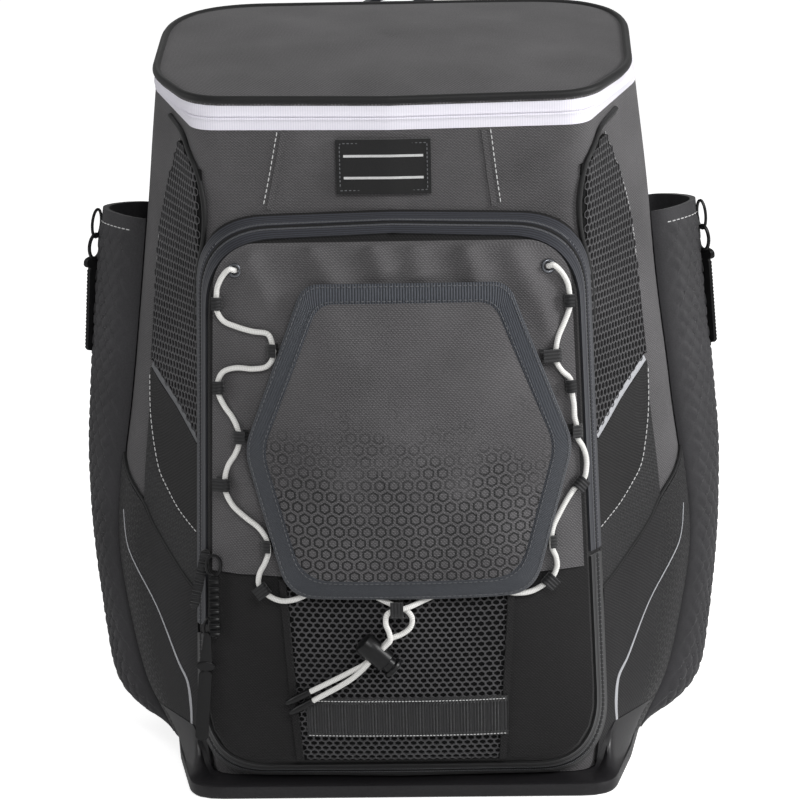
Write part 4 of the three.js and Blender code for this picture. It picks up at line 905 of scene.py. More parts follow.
# %% [markdown]
# ### The main body
# One closed shell, an outer wall, an inner wall and a floor, open at the top, in charcoal twill. The
# lid closes it. It replaces the plain solid and keeps to its space.

# %% Main body
BODY_AROUND, BODY_UP, INNER_UP = 64, 70, 10


def body_ring(z, lift):
    """A line right round the body at a height, lifted off its surface."""
    return closed_loop(lambda place: on_body(place or NEAR_ZERO, z, lift), 4, BODY_AROUND)


def main_body():
    def rows(lift, floor, count):
        seat = body.gap + floor
        heights = [body.low + seat + (body.height - seat) * i / count for i in range(count + 1)]
        return [body_ring(z, lift) for z in heights]

    outer = rows(0, 0, BODY_UP)
    inner = rows(-body.wall, body.floor, INNER_UP)
    pattern = Pattern()
    foot = Vector((0, 10, body.low + body.gap))
    pattern.vessel(outer, inner, foot, foot + Vector((0, 0, body.floor)))
    return make_piece("body_shell", pattern, charcoal_twill, "charcoal_twill", ["main_body"])


main_body()

# %% [markdown]
# ### Seams, piping and the reflective lines on the sides
# Each line on the side is a short list of rows: the place round the body and the height. Piping is a
# cord in a bias strip, so it is a round tube. The reflective lines are flat tape.

# %% Side lines
# place round the body, height
PIPING = [(1.54, 418), (1.24, 414), (1.15, 408), (1.05, 400), (1.0, 383), (1.0, 358), (1.08, 326),
          (1.1, 300)]
MESH_EDGE = [(1.33, 409), (1.57, 378), (1.69, 350), (1.73, 318), (1.72, 290), (1.70, 265)]
BAR = [(1.70, 264), (1.37, 246), (1.10, 226)]
WEDGE = [(1.72, 256), (1.68, 232), (1.60, 210), (1.53, 197), (1.43, 188), (1.30, 178), (1.09, 167)]
POCKET_EDGE = [(2.19, 203), (1.94, 188), (1.71, 174), (1.60, 163), (1.41, 149), (1.22, 136), (1.06, 127)]
SILVER = [(1.96, 164), (1.89, 143), (1.77, 129), (1.59, 109), (1.39, 76), (1.29, 65), (1.29, 48), (1.36, 34),
          (1.50, 15)]


def body_path(sign, rows, lift, steps=8):
    """A soft line on the body, with the outward direction at each of its points."""
    line = smooth_path([(place * 100, z, 0) for place, z in rows], steps)
    places = [(sign * point.x / 100, point.y) for point in line]
    return [on_body(place, z, lift) for place, z in places], [body_normal(place, z) for place, z in places]


def strip(pattern, path, outs, width, thickness):
    """A flat tape along a path."""
    outer, inner = [], []
    for i, point in enumerate(path):
        along = (path[min(i + 1, len(path) - 1)] - path[max(i - 1, 0)]).normalized()
        side = along.cross(outs[i]).normalized() * width(i / (len(path) - 1)) / 2
        outer.append([point - side + outs[i] * thickness, point + side + outs[i] * thickness])
        inner.append([point - side, point + side])
    pattern.shell(outer, inner)


def make_strips(name, lines, width, thickness, finish, slot):
    """Flat tapes as one piece, each along a path with its outward directions."""
    pattern = Pattern()
    for path, outs in lines:
        strip(pattern, path, outs, width, thickness)
    return make_piece(name, pattern, finish, slot)


for sign, side in SIDES:
    pattern = Pattern()
    pattern.tube(body_path(sign, PIPING, 1.2)[0], 1.7, 10)
    path, outs = body_path(sign, [(place + 0.025, z - 1) for place, z in PIPING], 0.2)
    strip(pattern, path, outs, lambda t: 4.0, 0.7)
    pattern.tube(body_path(sign, POCKET_EDGE, 1.4)[0], 1.0, 8)
    make_piece(f"side_piping_{side}", pattern, piping_cloth, "black_twill")
    # The left bar is the same silver tape as the right one; it takes the dimmer grey tape as painted shade,
    # on the side away from the strong right lamp.
    make_strips(f"reflective_bar_{side}", [body_path(sign, BAR, 1.3)], lambda t: 4.2, 0.8,
                silver_tape if sign > 0 else grey_stitching_and_shaded_bar, "webbing")
    make_strips(f"reflective_line_{side}", [body_path(sign, SILVER, 2.6)],
                lambda t: 0.8 + 2.6 * max(0, 1 - abs(t - 0.72) / 0.35), 0.35, silver_tape, "webbing")

# %% [markdown]
# ### Air mesh on the sides
# A spacer mesh has two faces joined by standing yarns. What the eye reads is a net of hexagon holes
# over a black ground, so the net is made as real holes: a flat hexagon rim for each cell and a wall
# that drops from it to the ground.

# %% Hexagon net
net = Sizes(pitch=4.4, hole=0.74, rim=0.06, depth=1.2, side_stretch=1.15, front_pitch=4.8, front_stretch=0.8)


def hexagon_net(pattern, place, inside, x_range, y_range, pitch, stretch):
    """Hexagon cells with holes. place(x, y, lift) puts a flat point on the bag, inside tests its middle."""
    step = pitch * stretch * ROOT3 / 2
    rows = int((y_range[1] - y_range[0]) / step) + 1
    columns = int((x_range[1] - x_range[0]) / pitch) + 1
    count = 0
    for r in range(rows):
        for c in range(columns):
            x = x_range[0] + pitch * (c + 0.5 * (r % 2))
            y = y_range[0] + step * r
            if not inside(x, y):
                continue
            count += 1
            first = len(pattern.points)
            for size, lift in ((1.0, 0.0), (net.hole + net.rim, 0.05), (net.hole, -net.depth)):
                for k in range(6):
                    turn = math.pi / 3 * k + math.pi / 6
                    reach = pitch / ROOT3 * size
                    high = reach * stretch * math.sin(turn)
                    pattern.points.append(place(x + reach * math.cos(turn), y + high, lift))
            for ring in (0, 6):
                for k in range(6):
                    n = (k + 1) % 6
                    corners = [ring + k, ring + n, ring + 6 + n, ring + 6 + k]
                    pattern.face([first + corner for corner in corners])
    return count


MM_PER_PLACE = 112
panel_lift = Sizes(seat=1.2, thickness=1.3)


def body_panel(name, sign, low, high, start, finish, finish_material, slot, replaces, columns=36, rows=30,
               low_shift=0.0, high_shift=0.0, lift=panel_lift.seat):
    """A thin panel on the side of the body between two seams."""
    def sheet(level):
        def spot(u, v):
            place = start + (finish - start) * u
            bottom, top = seam_height(low, place) + low_shift, seam_height(high, place) + high_shift
            return on_body(sign * place, bottom + (top - bottom) * v, level)

        return sheet_of(spot, columns, rows)

    return make_sheet(name, sheet(lift + panel_lift.thickness), sheet(lift), finish_material, slot, replaces)


MESH_TOP = [(1.02, 398), (1.10, 403), (1.18, 407), (1.32, 409), (1.45, 395), (1.57, 378), (1.67, 353),
            (1.74, 299)]
for sign, side in SIDES:
    body_panel(f"mesh_ground_{side}", sign, BAR, MESH_TOP, 1.0, 1.735, mesh_ground, "air_mesh",
               [f"side_mesh_{side}"], low_shift=2.3, lift=0.4)

    def on_side(x, y, lift):
        return on_body(sign * x / MM_PER_PLACE, y, panel_lift.seat + panel_lift.thickness + lift)

    def in_mesh(x, y):
        place = x / MM_PER_PLACE
        if not 1.02 <= place <= 1.72:
            return False
        return seam_height(BAR, place) + 3.2 < y < seam_height(MESH_TOP, place) - 1.5

    pattern = Pattern()
    across = (1.0 * MM_PER_PLACE, 1.74 * MM_PER_PLACE)
    cells = hexagon_net(pattern, on_side, in_mesh, across, (226, 410), net.pitch, net.side_stretch)
    make_piece(f"mesh_net_{side}", pattern, mesh_yarn, "air_mesh", weld=0.05, sharp=70)
    body_panel(f"wedge_panel_{side}", sign, WEDGE, BAR, 1.08, 1.715, black_twill, "black_twill",
               [f"side_wedge_{side}"], high_shift=-2.3)
    body_panel(f"printed_band_{side}", sign, POCKET_EDGE, WEDGE, 1.08, 1.715, side_print,
               "charcoal_twill", (), low_shift=0.8, high_shift=-0.8, lift=0.2)
    foot = [(1.06, 14), (2.19, 14)]
    body_panel(f"side_pocket_panel_{side}", sign, foot, POCKET_EDGE, 1.10, 2.1, pocket_print, "black_twill",
               [f"side_pocket_{side}"], columns=44, rows=40, high_shift=-0.8)
    beside = [(place + 0.02, z) for place, z in MESH_EDGE[:4]]
    above = [(place - 0.005, z + 1) for place, z in WEDGE]
    lines = [body_path(sign, beside, 0.3), body_path(sign, above, panel_lift.seat + panel_lift.thickness)]
    make_seams(f"side_stitches_{side}", lines, light_thread, "webbing")
    print("mesh cells:", cells)

# %% [markdown]
# ## The lid and the white zipper
# The lid is a stiff, slightly domed panel with a piped edge. Below it a white tape runs round the bag:
# two halves of tape with a reversed coil between them, so that only a thin line shows at its middle.

# %% Lid
lid = Sizes(
    half_width=149, half_front=122, front_y=-92, rear_y=101, shoulder_y=-35, front_radius=34, side_radius=70,
    rear_radius=68, front_z=441, slope=0.19, wall=4, dome=8, roll=2.6, corner_drop=6,
    turn_start=0.985, seat=0.3,
)


def lid_outline(inset):
    corners = [
        (0, lid.front_y + inset), (lid.half_front - inset, lid.front_y + lid.corner_drop + inset),
        (lid.half_width - inset, lid.shoulder_y), (lid.half_width - inset, lid.rear_y - inset),
        (0, lid.rear_y - inset),
    ]
    return walker(*rounded_half(corners, [lid.front_radius, lid.side_radius, lid.rear_radius]))


def lid_height(y):
    return lid.front_z + lid.slope * (y - lid.front_y)


def lid_point(walk, place, z):
    flat = walk(place)
    return Vector((flat.x, flat.y, lid_height(flat.y) + z))


def top_lid():
    walk = lid_outline(0)
    middle = Vector((0, (lid.front_y + lid.rear_y) / 2))

    def ring(share, under):
        points = []
        for flat in closed_loop(walk, 4, BODY_AROUND):
            spot = middle + (flat - middle) * share
            sag = 2.2 * noise.noise(Vector((spot.x / 55, spot.y / 40, 3))) * (1 - share ** 4)
            past = max(0, share - lid.turn_start) / (1 - lid.turn_start)
            roll = lid.roll * math.sqrt(max(0, 1 - past ** 2))
            level = lid.dome * (1 - share ** 2) + sag + roll * lid.seat - (lid.wall if under else 0)
            points.append(Vector((spot.x, spot.y, lid_height(spot.y) + level)))
        return points

    shares = [0.02, 0.15, 0.3, 0.45, 0.6, 0.72, 0.82, 0.9, 0.95, 0.98, 0.992]
    outer = [ring(share, False) for share in shares]
    inner = [ring(share, True) for share in shares[::2]]
    pattern = Pattern()
    peak = Vector((0, middle.y, lid_height(middle.y) + lid.dome + lid.roll * lid.seat))
    pattern.vessel(outer, inner, peak, peak - Vector((0, 0, lid.wall)), upside_down=True)
    return make_piece("lid_panel", pattern, charcoal_twill, "charcoal_twill", ["top_lid"], lay="xy")


top_lid()
pattern = Pattern()
edge_walk = lid_outline(lid.roll * 0.6)
pattern.tube([lid_point(edge_walk, 4 * i / 90 if i <= 90 else -4 * (180 - i) / 90, 0.2) for i in range(180)],
             lid.roll, 12, closed=True)
make_piece("lid_piping", pattern, piping_cloth, "black_twill")

# %% [markdown]
# The zipper's tape is one continuous strip in two halves, 0.3 mm above the body's rim and below the
# lid's piping. Its height swells at the corners, because the rim and the lid slope differently.

# %% White zipper
band = Sizes(thickness=1.4, rear=3.1, inset=1.5, low_end=0.494, high_start=0.506, gap=0.3)
band_high = lid_outline(band.inset)


def band_point(place, share, lift):
    """A point on the zipper's tape: share 0 is the body's rim and 1 is the lid."""
    rim = body.low + body.height
    low = body_point(place, rim) + Vector((0, 0, band.gap))
    high = lid_point(band_high, place, -lid.roll - band.gap)
    along = body_point(place + 0.02, rim) - body_point(place - 0.02, rim)
    out = along.cross(high - low).normalized()
    return low.lerp(high, share) + out * lift


def band_half(name, start, finish):
    def sheet(level):
        def spot(u, v):
            share = start + (finish - start) * v
            near = max(0, 1 - abs(share - 0.5) / 0.16)
            rise = level + (0.9 * math.sin(near * math.pi) ** 2 if level > 0 else 0)
            return band_point((2 * u - 1) * band.rear or NEAR_ZERO, share, rise)

        return sheet_of(spot, 240, 8)

    make_sheet(name.replace("zipper_band", "white_tape"), sheet(0.4), sheet(-1.0), white_tape,
               "white_zipper", [name])


white_tape = ribbed("white_zipper_tape_ribs", "#dddbe5", "#ece9f2", 1.5, along="X", depth=0.03,
                    roughness=0.6)
band_half("zipper_band_lower", 0, band.low_end)
band_half("zipper_band_upper", band.high_start, 1)
pattern = Pattern()
middle_line = [band_point((2 * c / 200 - 1) * band.rear or NEAR_ZERO, 0.5, -0.5) for c in range(201)]
pattern.tube(middle_line, 0.55, 8)
make_piece("white_zipper_coil", pattern, graphite_tape, "white_zipper")
start, finish = band.rear + 0.02, 8 - band.rear - 0.02
places = [start + (finish - start) * i / 40 for i in range(41)]
wrapped = [place - 8 if place > 4 else place for place in places]
sides = [[[band_point(place, r / 6, lift) for place in wrapped] for r in range(7)]
         for lift in (0, -band.thickness)]
make_sheet("lid_hinge_cloth", *sides, charcoal_twill, "charcoal_twill", ["lid_hinge"])

# %% [markdown]
# ## The front pocket
# A lofted shell: from the body out through a sloping gusset, where the zipper lies, to the crowned
# face. Its cloth is black twill. The upper part of the face is a panel of charcoal twill, pulled into
# soft folds by the flap that hangs in front of it.

# %% Front pocket
POCKET_AROUND = 75


def body_front_y(x, z):
    low, high = 0.0, 2.0
    for _ in range(20):
        middle = (low + high) / 2
        if body_point(middle, z).x < abs(x):
            low = middle
        else:
            high = middle
    return body_point((low + high) / 2, z).y


def pocket_shell():
    middle = (face_bottom + face_top) / 2

    def face_ring(share, lift, inset):
        ring = []
        for flat in closed_loop(pocket_outline(inset), 3, POCKET_AROUND):
            x, z = flat.x * share, middle + (flat.y - middle) * share
            ring.append(Vector((x, face_y(x, z) + lift, z)))
        return ring

    def back_ring(inset, lift):
        ring = []
        for flat in closed_loop(pocket_outline(inset), 3, POCKET_AROUND):
            z = max(flat.y, body.low + pocket.foot_gap)
            ring.append(Vector((flat.x, body_front_y(flat.x, z) - lift, z)))
        return ring

    shares = (0.02, 0.2, 0.35, 0.5, 0.65, 0.8, 0.9, 0.96, 0.99, 1)
    face = [face_ring(share, 0, pocket.inset) for share in shares]
    back = back_ring(0, pocket.seat)
    gusset = [[a.lerp(b, t) for a, b in zip(face[-1], back)] for t in (0.08, 0.3, 0.5, 0.7, 0.92, 1)]
    inset = pocket.inset + pocket.wall
    inner = [back_ring(pocket.wall, pocket.seat)] + [
        face_ring(share, pocket.wall, inset) for share in (1, 0.85, 0.65, 0.35, 0.02)]
    pattern = Pattern()
    centre = Vector((0, face_y(0, middle), middle))
    pattern.loft(face + gusset + inner, centre, centre + Vector((0, pocket.wall, 0)))
    return make_piece("pocket_shell", pattern, black_twill, "black_twill", ["front_pocket"], lay="xz")


pocket_shell()

# %% [markdown]
# Folds are rows of a short table: where a fold starts and ends on the face, how wide it is and how far
# it stands out. Each is a soft ridge that dies away at both ends.

# %% Charcoal panel with its folds
# start x, start z, end x, end z, width, height
FOLDS = [
    (-90, 352, -70, 312, 8, 4.2),
    (-50, 354, -30, 326, 8, 4.8),
    (-12, 354, -4, 336, 7, 3.6),
    (14, 354, 18, 334, 8, 3.4),
    (44, 354, 60, 312, 7, 5.0),
    (72, 354, 100, 296, 8, 4.4),
    (-100, 225, -84, 196, 8, 2.8),
    (-96, 262, -100, 232, 9, 2.4),
    (108, 236, 94, 196, 8, 3.0),
    (100, 190, 112, 160, 9, 2.8),
    (-108, 175, -92, 152, 9, 2.6),
]


def folds_at(folds, x, z):
    """How far a set of folds lifts the cloth at a place on the face."""
    total = 0.0
    for x0, z0, x1, z1, width, height in folds:
        run = Vector((x1 - x0, z1 - z0))
        offset = Vector((x - x0, z - z0))
        t = offset.dot(run) / run.length_squared
        away = (offset - run * t).length / width
        if -0.3 < t < 1.3 and away < 3:
            ends = math.exp(-max(0, abs(t - 0.5) - 0.35) ** 2 * 30)
            total += height * math.exp(-away * away) * ends
    return total


def fold_lift(x, z):
    return folds_at(FOLDS, x, z) + 0.8 * noise.noise(Vector((x / 30, z / 42, 1)))


panel = Sizes(thickness=1, seat=0.8, seam_z=150, margin=3, corner=26, tuck=0.4)


def panel_half(z):
    """Half the width of the charcoal panel at a height, rounded at its top corners."""
    up = min(max((z - face_bottom) / (face_top - face_bottom), 0), 1)
    half = pocket.half_bottom + (pocket.half_top - pocket.half_bottom) * up - pocket.inset - panel.margin
    corner = max(0, z - (face_top - panel.margin - panel.corner)) / panel.corner
    return half - panel.corner * (1 - math.sqrt(max(0, 1 - min(corner, 1) ** 2)))


def face_panel(low, high, half, lift, thickness, columns, rows, folds=True):
    """The two sides of a panel on the face, with rows that lie closer together towards its top."""
    def sheet(level):
        def spot(u, v):
            up = math.sin(v * math.pi / 2)
            z = low + (high - low) * up
            x = half(z) * (2 * u - 1)
            edge = min(1, 6 * (1 - abs(2 * u - 1))) * min(1, 60 * (1 - up))
            return on_face(x, z, level + (fold_lift(x, z) * edge if folds else 0))

        return sheet_of(spot, columns, rows)

    return sheet(lift + thickness), sheet(lift - panel.tuck)


sides = face_panel(panel.seam_z, face_top - panel.margin, panel_half, panel.seat, panel.thickness, 120, 110)
make_sheet("charcoal_panel", *sides, charcoal_twill, "charcoal_twill", ["pocket_panel_upper"])

# %% [markdown]
# The lower middle of the pocket is a window of the same air mesh, edged with a folded strip of black
# twill, and a gear loop of ribbed webbing crosses it.

# %% Mesh window and gear webbing
window = Sizes(half_top=69, half_bottom=62, top=149, bottom=26, edge=4.5, net_lift=2.0)
gear = Sizes(low=45, high=71, left=-58, right=67, thickness=1.5, lift=2.25, rib=2.1, rib_height=0.7)


def window_half(z):
    up = (z - window.bottom) / (window.top - window.bottom)
    return window.half_bottom + (window.half_top - window.half_bottom) * up


sides = face_panel(window.bottom, window.top, window_half, 0.5, 0.5, 30, 30, folds=False)
make_sheet("mesh_ground_front", *sides, mesh_ground, "air_mesh", ["pocket_mesh_lower"])
pattern = Pattern()
hexagon_net(
    pattern, lambda x, z, lift: on_face(x, z, window.net_lift + lift),
    lambda x, z: abs(x) < window_half(z) - 1 and window.bottom < z < window.top,
    (-window.half_top, window.half_top), (window.bottom, window.top), net.front_pitch, net.front_stretch)
make_piece("mesh_net_front", pattern, mesh_yarn, "air_mesh", weld=0.05, sharp=70)


def face_path(rows, lift, steps=8):
    """A soft line on the pocket's face, with the outward direction at each point."""
    line = smooth_path([(x, z, 0) for x, z in rows], steps)
    return [on_face(p.x, p.y, lift) for p in line], [face_normal(p.x, p.y) for p in line]


for sign, side in SIDES:
    edge, line = (
        face_path([(sign * (window_half(z) + aside), z) for z in (27, 60, 90, 120, 148)], lift)
        for aside, lift in ((1.5, 1.6), (-0.2, 2.4)))
    make_strips(f"window_edge_{side}", [edge], lambda t: window.edge, 0.9, black_twill, "black_twill")
    make_seams(f"window_stitches_{side}", [line], dark_thread, "black_twill")


def gear_webbing():
    width, height = gear.right - gear.left, gear.high - gear.low
    columns, rows = int(width / gear.rib * 6), 8

    def sheet(level, ribs):
        def spot(u, v):
            wave = math.sin(math.pi * width * u / gear.rib) ** 2
            rib = gear.rib_height * wave if ribs and 0 < v < 1 else 0
            return on_face(gear.left + width * u, gear.low + height * v, level + rib)

        return sheet_of(spot, columns, rows)

    make_sheet("gear_loop_webbing", sheet(gear.lift + gear.thickness, True), sheet(gear.lift, False),
               gear_webbing_ribs, "webbing", ["gear_webbing"])


gear_webbing_ribs = ribbed("gear_webbing_ribs", "#040404", "#39393b", gear.rib, along="X", depth=0.5,
                           roughness=0.5)
gear_webbing()
lines = [
    face_path([(gear.left + 1, z), (0, z), (gear.right - 1, z)], gear.lift + gear.thickness + 0.4, 30)
    for z in (gear.low + 1.2, gear.high - 1.2)
]
make_seams("gear_webbing_stitches", lines, light_thread, "webbing", length=1.5, pitch=2.1, radius=0.3)

# %% [markdown]
# ### The pocket's zipper
# A graphite tape with a reversed coil runs over the top of the pocket and down both sides. Its lower
# run, from low on each side round the foot of the pocket, takes a darker copy of the tape's finish as
# painted shade. The tape folds over the gusset. Its coil shows as a dark slit between two rows of
# small stitches.

# %% Pocket zipper
tape = Sizes(
    thickness=1.1, seat=0.6, start=0.12, finish=0.88, split=1.74, right_end=1.6, lower_start=1.76,
    stitch_pitch=1.5,
)
outer_walk, inner_walk = pocket_outline(0), pocket_outline(pocket.inset)


def gusset_point(place, share, lift):
    """A point on the pocket's sloping side: share 0 at the body and 1 at the face."""
    def at(p, s):
        if abs(p) > 3:
            p -= math.copysign(6, p)
        low, high = outer_walk(p), inner_walk(p)
        depth = body_front_y(low.x, max(low.y, body.low + pocket.foot_gap)) - pocket.seat
        return Vector((low.x, depth, low.y)).lerp(Vector((high.x, face_y(high.x, high.y), high.y)), s)

    along = at(place + 0.02, share) - at(place - 0.02, share)
    across = at(place, min(share + 0.1, 1)) - at(place, max(share - 0.1, 0))
    out = across.cross(along).normalized()
    if out.y > 0:
        out.negate()
    return at(place, share) + out * lift, out


def zipper_tape(name, start, finish, finish_material, replaces):
    def sheet(level, profile):
        def spot(u, v):
            share = tape.start + (tape.finish - tape.start) * v
            centre = abs(share - 0.5)
            beads = 0.8 * math.exp(-((centre - 0.12) / 0.06) ** 2)
            slit = 0.7 * math.exp(-(centre / 0.03) ** 2)
            place = start + (finish - start) * u or NEAR_ZERO
            return gusset_point(place, share, level + profile * (beads - slit))[0]

        return sheet_of(spot, 220, 10)

    make_sheet(name, sheet(tape.seat + tape.thickness, 1), sheet(tape.seat - 0.3, 0), finish_material,
               "graphite_zipper", replaces)
    run = [start + (finish - start) * c / 300 or NEAR_ZERO for c in range(301)]
    line = [gusset_point(place, 0.5, tape.seat + 0.9)[0] for place in run]
    length = path_length(line)
    pattern = Pattern()
    pattern.tube(line, 0.75, 6)
    make_piece(f"{name}_slit", pattern, dark_thread, "graphite_zipper")
    pattern = Pattern()
    for share in (0.41, 0.59):
        for c in range(int(length / tape.stitch_pitch)):
            place = start + (finish - start) * c * tape.stitch_pitch / length or NEAR_ZERO
            one, out = gusset_point(place, share - 0.03, tape.seat + tape.thickness + 0.45)
            two, _ = gusset_point(place, share + 0.03, tape.seat + tape.thickness + 0.45)
            pattern.stitch(one, two, out, 0.32)
    make_piece(f"{name}_coil_stitches", pattern, grey_stitching_and_shaded_bar, "graphite_zipper")


zipper_tape("pocket_tape", -tape.split, tape.right_end, graphite_tape, ["pocket_zipper"])
# The lower run takes the darker copy of the tape as painted shade.
zipper_tape("pocket_tape_lower", tape.right_end + 0.01, 6 - tape.lower_start, shaded_lower_zipper_tape,
            ["pocket_zipper_lower"])

# %% [markdown]
# ## The helmet flap
# A six-sided panel that holds a helmet against the bag. It is lightly padded, so it is crowned, and
# bound all round with grosgrain that is folded over its edge.

# %% Helmet flap
flap = Sizes(
    x=8.5, top=332, middle=231, bottom=138.5, half_top=61.5, half_middle=98, half_bottom=74, radius=14,
    lift=5.6, thickness=2.5, arch=7, binding=12, top_taper=0.8, gap=0.5,
)
flap_middle = (flap.top + flap.bottom) / 2
# start x, start z, end x, end z, width, height
FLAP_FOLDS = [
    (84, 232, 22, 168, 13, -4.2),
    (70, 200, 30, 160, 10, 3.2),
    (-60, 205, -20, 150, 14, 2.0),
    (-40, 320, -20, 270, 16, 1.0),
    (50, 320, 66, 262, 14, 1.2),
]


def flap_outline(inset):
    corners = [
        (0, flap.top - inset), (flap.half_top - inset * flap.top_taper, flap.top - inset),
        (flap.half_middle - inset, flap.middle),
        (flap.half_bottom - inset * flap.top_taper, flap.bottom + inset), (0, flap.bottom + inset),
    ]
    return walker(*rounded_half(corners, [flap.radius, flap.radius * 2.4, flap.radius * 1.6]))


def flap_point(flat, share, lift):
    x, z = flap.x + flat.x * share, flap_middle + (flat.y - flap_middle) * share
    wave = 1.1 * noise.noise(Vector((x / 34, z / 46, 7))) + folds_at(FLAP_FOLDS, x, z)
    return on_face(x, z, lift + flap.arch * (1 - share ** 2) + wave * (1 - share ** 3))


def helmet_flap():
    """The padded panel, as a grid over its outline so that the print lies straight on it."""
    walk = flap_outline(flap.binding - 1)
    outline = closed_loop(walk, 4, 60)

    def ring(share, lift):
        return [flap_point(flat, share, lift) for flat in outline]

    shares = [0.02, 0.15, 0.3, 0.45, 0.6, 0.72, 0.82, 0.9, 0.96, 1]
    high = [ring(share, flap.lift + flap.thickness) for share in shares]
    low = [ring(share, flap.lift + flap.gap) for share in (1, 0.7, 0.35, 0.02)]
    pattern = Pattern()
    lift = flap.lift + flap.arch
    pattern.loft(high + low, on_face(flap.x, flap_middle, lift + flap.thickness),
                 on_face(flap.x, flap_middle, lift + flap.gap))
    pattern.flat = [
        (pattern.points[k].x - flap.x, pattern.points[k].z - flap.bottom)
        for face in pattern.faces for k in face
    ]
    piece = make_piece("flap_panel", pattern, flap_print, "charcoal_twill", ["helmet_flap"])
    return piece


helmet_flap()


def binding_ring(share_in, lift, count=160):
    """A line round the flap: 0 is its outer edge and 1 the inner edge of the binding."""
    walk = flap_outline(flap.binding * share_in)
    return [flap_point(flat, 1, lift) for flat in closed_loop(walk, 4, count)]


def flap_binding():
    profile = [(0, 0.3), (0, 2.2), (0.06, 2.9), (0.2, 3.1), (0.8, 3.1), (0.94, 2.9), (1, 2.3), (1, 0.3)]
    rows = [binding_ring(share, flap.lift + level) for share, level in profile]
    rows.append(rows[0])
    pattern = Pattern()
    pattern.grid(rows, wrap=True)
    return make_piece("flap_grosgrain", pattern, grosgrain, "grosgrain", ["flap_binding"], weld=0.01,
                      sharp=60)


grosgrain = ribbed("graphite_grosgrain_ribs", "#15171b", "#4d5159", 1.7, along="X", depth=0.35,
                   roughness=0.55)
flap_binding()
lines = []
for share in (0.16, 0.86):
    line = binding_ring(share, flap.lift + 3.2, 200)
    line.append(line[0])
    lines.append((line, [face_normal(point.x, point.z) for point in line]))
make_seams("flap_stitches", lines, grey_stitching_and_shaded_bar, "grosgrain", length=2.2, pitch=3.2, radius=0.32)

# %% [markdown]
# ### Loops for the cord
# Short folds of webbing, sewn into the edge of the pocket panel or of the flap, hold the cord. Each is
# a U of 0.9 mm webbing round the cord.

# %% Webbing loops
loop = Sizes(radius=2.7, thickness=0.9, width=8, lift=5.6, double_radius=4.6, double_lift=7.6, gap=0.3)
# name, x, z, run of the cord, direction of the legs, length of the legs
SIDE_LOOPS = [
    ("side_loop_l1", -105.5, 320, (0, 1), (-1, 0), 2),
    ("side_loop_l2", -105.5, 268, (0, 1), (-1, 0), 2),
    ("side_loop_l3", -103, 207, (0, 1), (-1, 0), 7),
    ("side_loop_l4", -81.3, 141.7, (0.64, -0.77), (-0.77, -0.64), 5),
    ("side_loop_r1", 106.5, 319, (0, 1), (1, 0), 2),
    ("side_loop_r2", 106.4, 266, (-0.1, 1), (1, 0.1), 2),
    ("side_loop_r3", 110.8, 204, (0.74, 0.67), (0.67, -0.74), 4),
    ("side_loop_r4", 91.8, 145, (0.74, 0.67), (0.67, -0.74), 5),
]
FLAP_LOOPS = [
    ("flap_loop_l1", -71.7, 292.5, (0, 1), (1, 0)),
    ("flap_loop_l2", -93.7, 238, (0, 1), (1, 0)),
    ("flap_loop_l3", -78, 170.5, (0, 1), (1, 0)),
    ("flap_loop_r1", 97.8, 286, (0, 1), (-1, 0)),
    ("flap_loop_r2", 109.4, 237.5, (0, 1), (-1, 0)),
    ("flap_loop_r3", 93.8, 170, (0, 1), (-1, 0)),
]


def cord_loop(name, x, z, run, legs, leg, radius=loop.radius, lift=loop.lift):
    out = face_normal(x, z)
    along = Vector((run[0], 0, run[1]))
    along = (along - out * along.dot(out)).normalized()
    side = along.cross(out).normalized()
    if side.dot(Vector((legs[0], 0, legs[1]))) < 0:
        side.negate()
    centre = on_face(x, z, lift)
    bend = 14
    path = [(leg, 1), (leg / 2, 1), (0, 1)]
    path += [(-math.sin(math.pi * i / bend), math.cos(math.pi * i / bend)) for i in range(1, bend)]
    path += [(0, -1), (leg / 2, -1), (leg, -1)]

    def sheet(reach):
        rows = []
        for v in (-0.5, -0.46, -0.25, 0, 0.25, 0.46, 0.5):
            row = []
            for distance, height in path:
                aside = distance if distance > 0 else distance * reach
                row.append(centre + side * aside + out * height * reach + along * v * loop.width)
            rows.append(row)
        return rows

    make_sheet(name.replace("loop", "webbing_loop"), sheet(radius + loop.thickness), sheet(radius), webbing,
               "webbing", [name])


def leg_to_flap(x, z, legs):
    """How far a loop's legs run before they meet the flap's edge."""
    walk = flap_outline(0)
    near = []
    for i in range(400):
        edge = walk(math.copysign(max(i / 100, 1e-6), x - flap.x))
        if abs(edge.y - z) < loop.width / 2 and (edge.x - (x - flap.x)) * legs[0] > 0:
            near.append(abs(edge.x - (x - flap.x)))
    return min(near)


for name, x, z, run, legs, leg in SIDE_LOOPS:
    cord_loop(name, x, z, run, legs, leg)
for name, x, z, run, legs in FLAP_LOOPS:
    cord_loop(name, x, z, run, legs, leg_to_flap(x, z, legs) - loop.gap)
bottom_loop_z = 132.2
cord_loop("bottom_loop", 0, bottom_loop_z, (1, 0), (0, 1), flap.bottom - bottom_loop_z - loop.gap,
          loop.double_radius, loop.double_lift)

# %% [markdown]
# ### Grommets and the cord lock
# A grommet is a rolled ring of plated brass. The lock is a moulded barrel with a spring inside: the
# plunger is pushed in to let the cord slide. Both have a hole across them for the two strands.

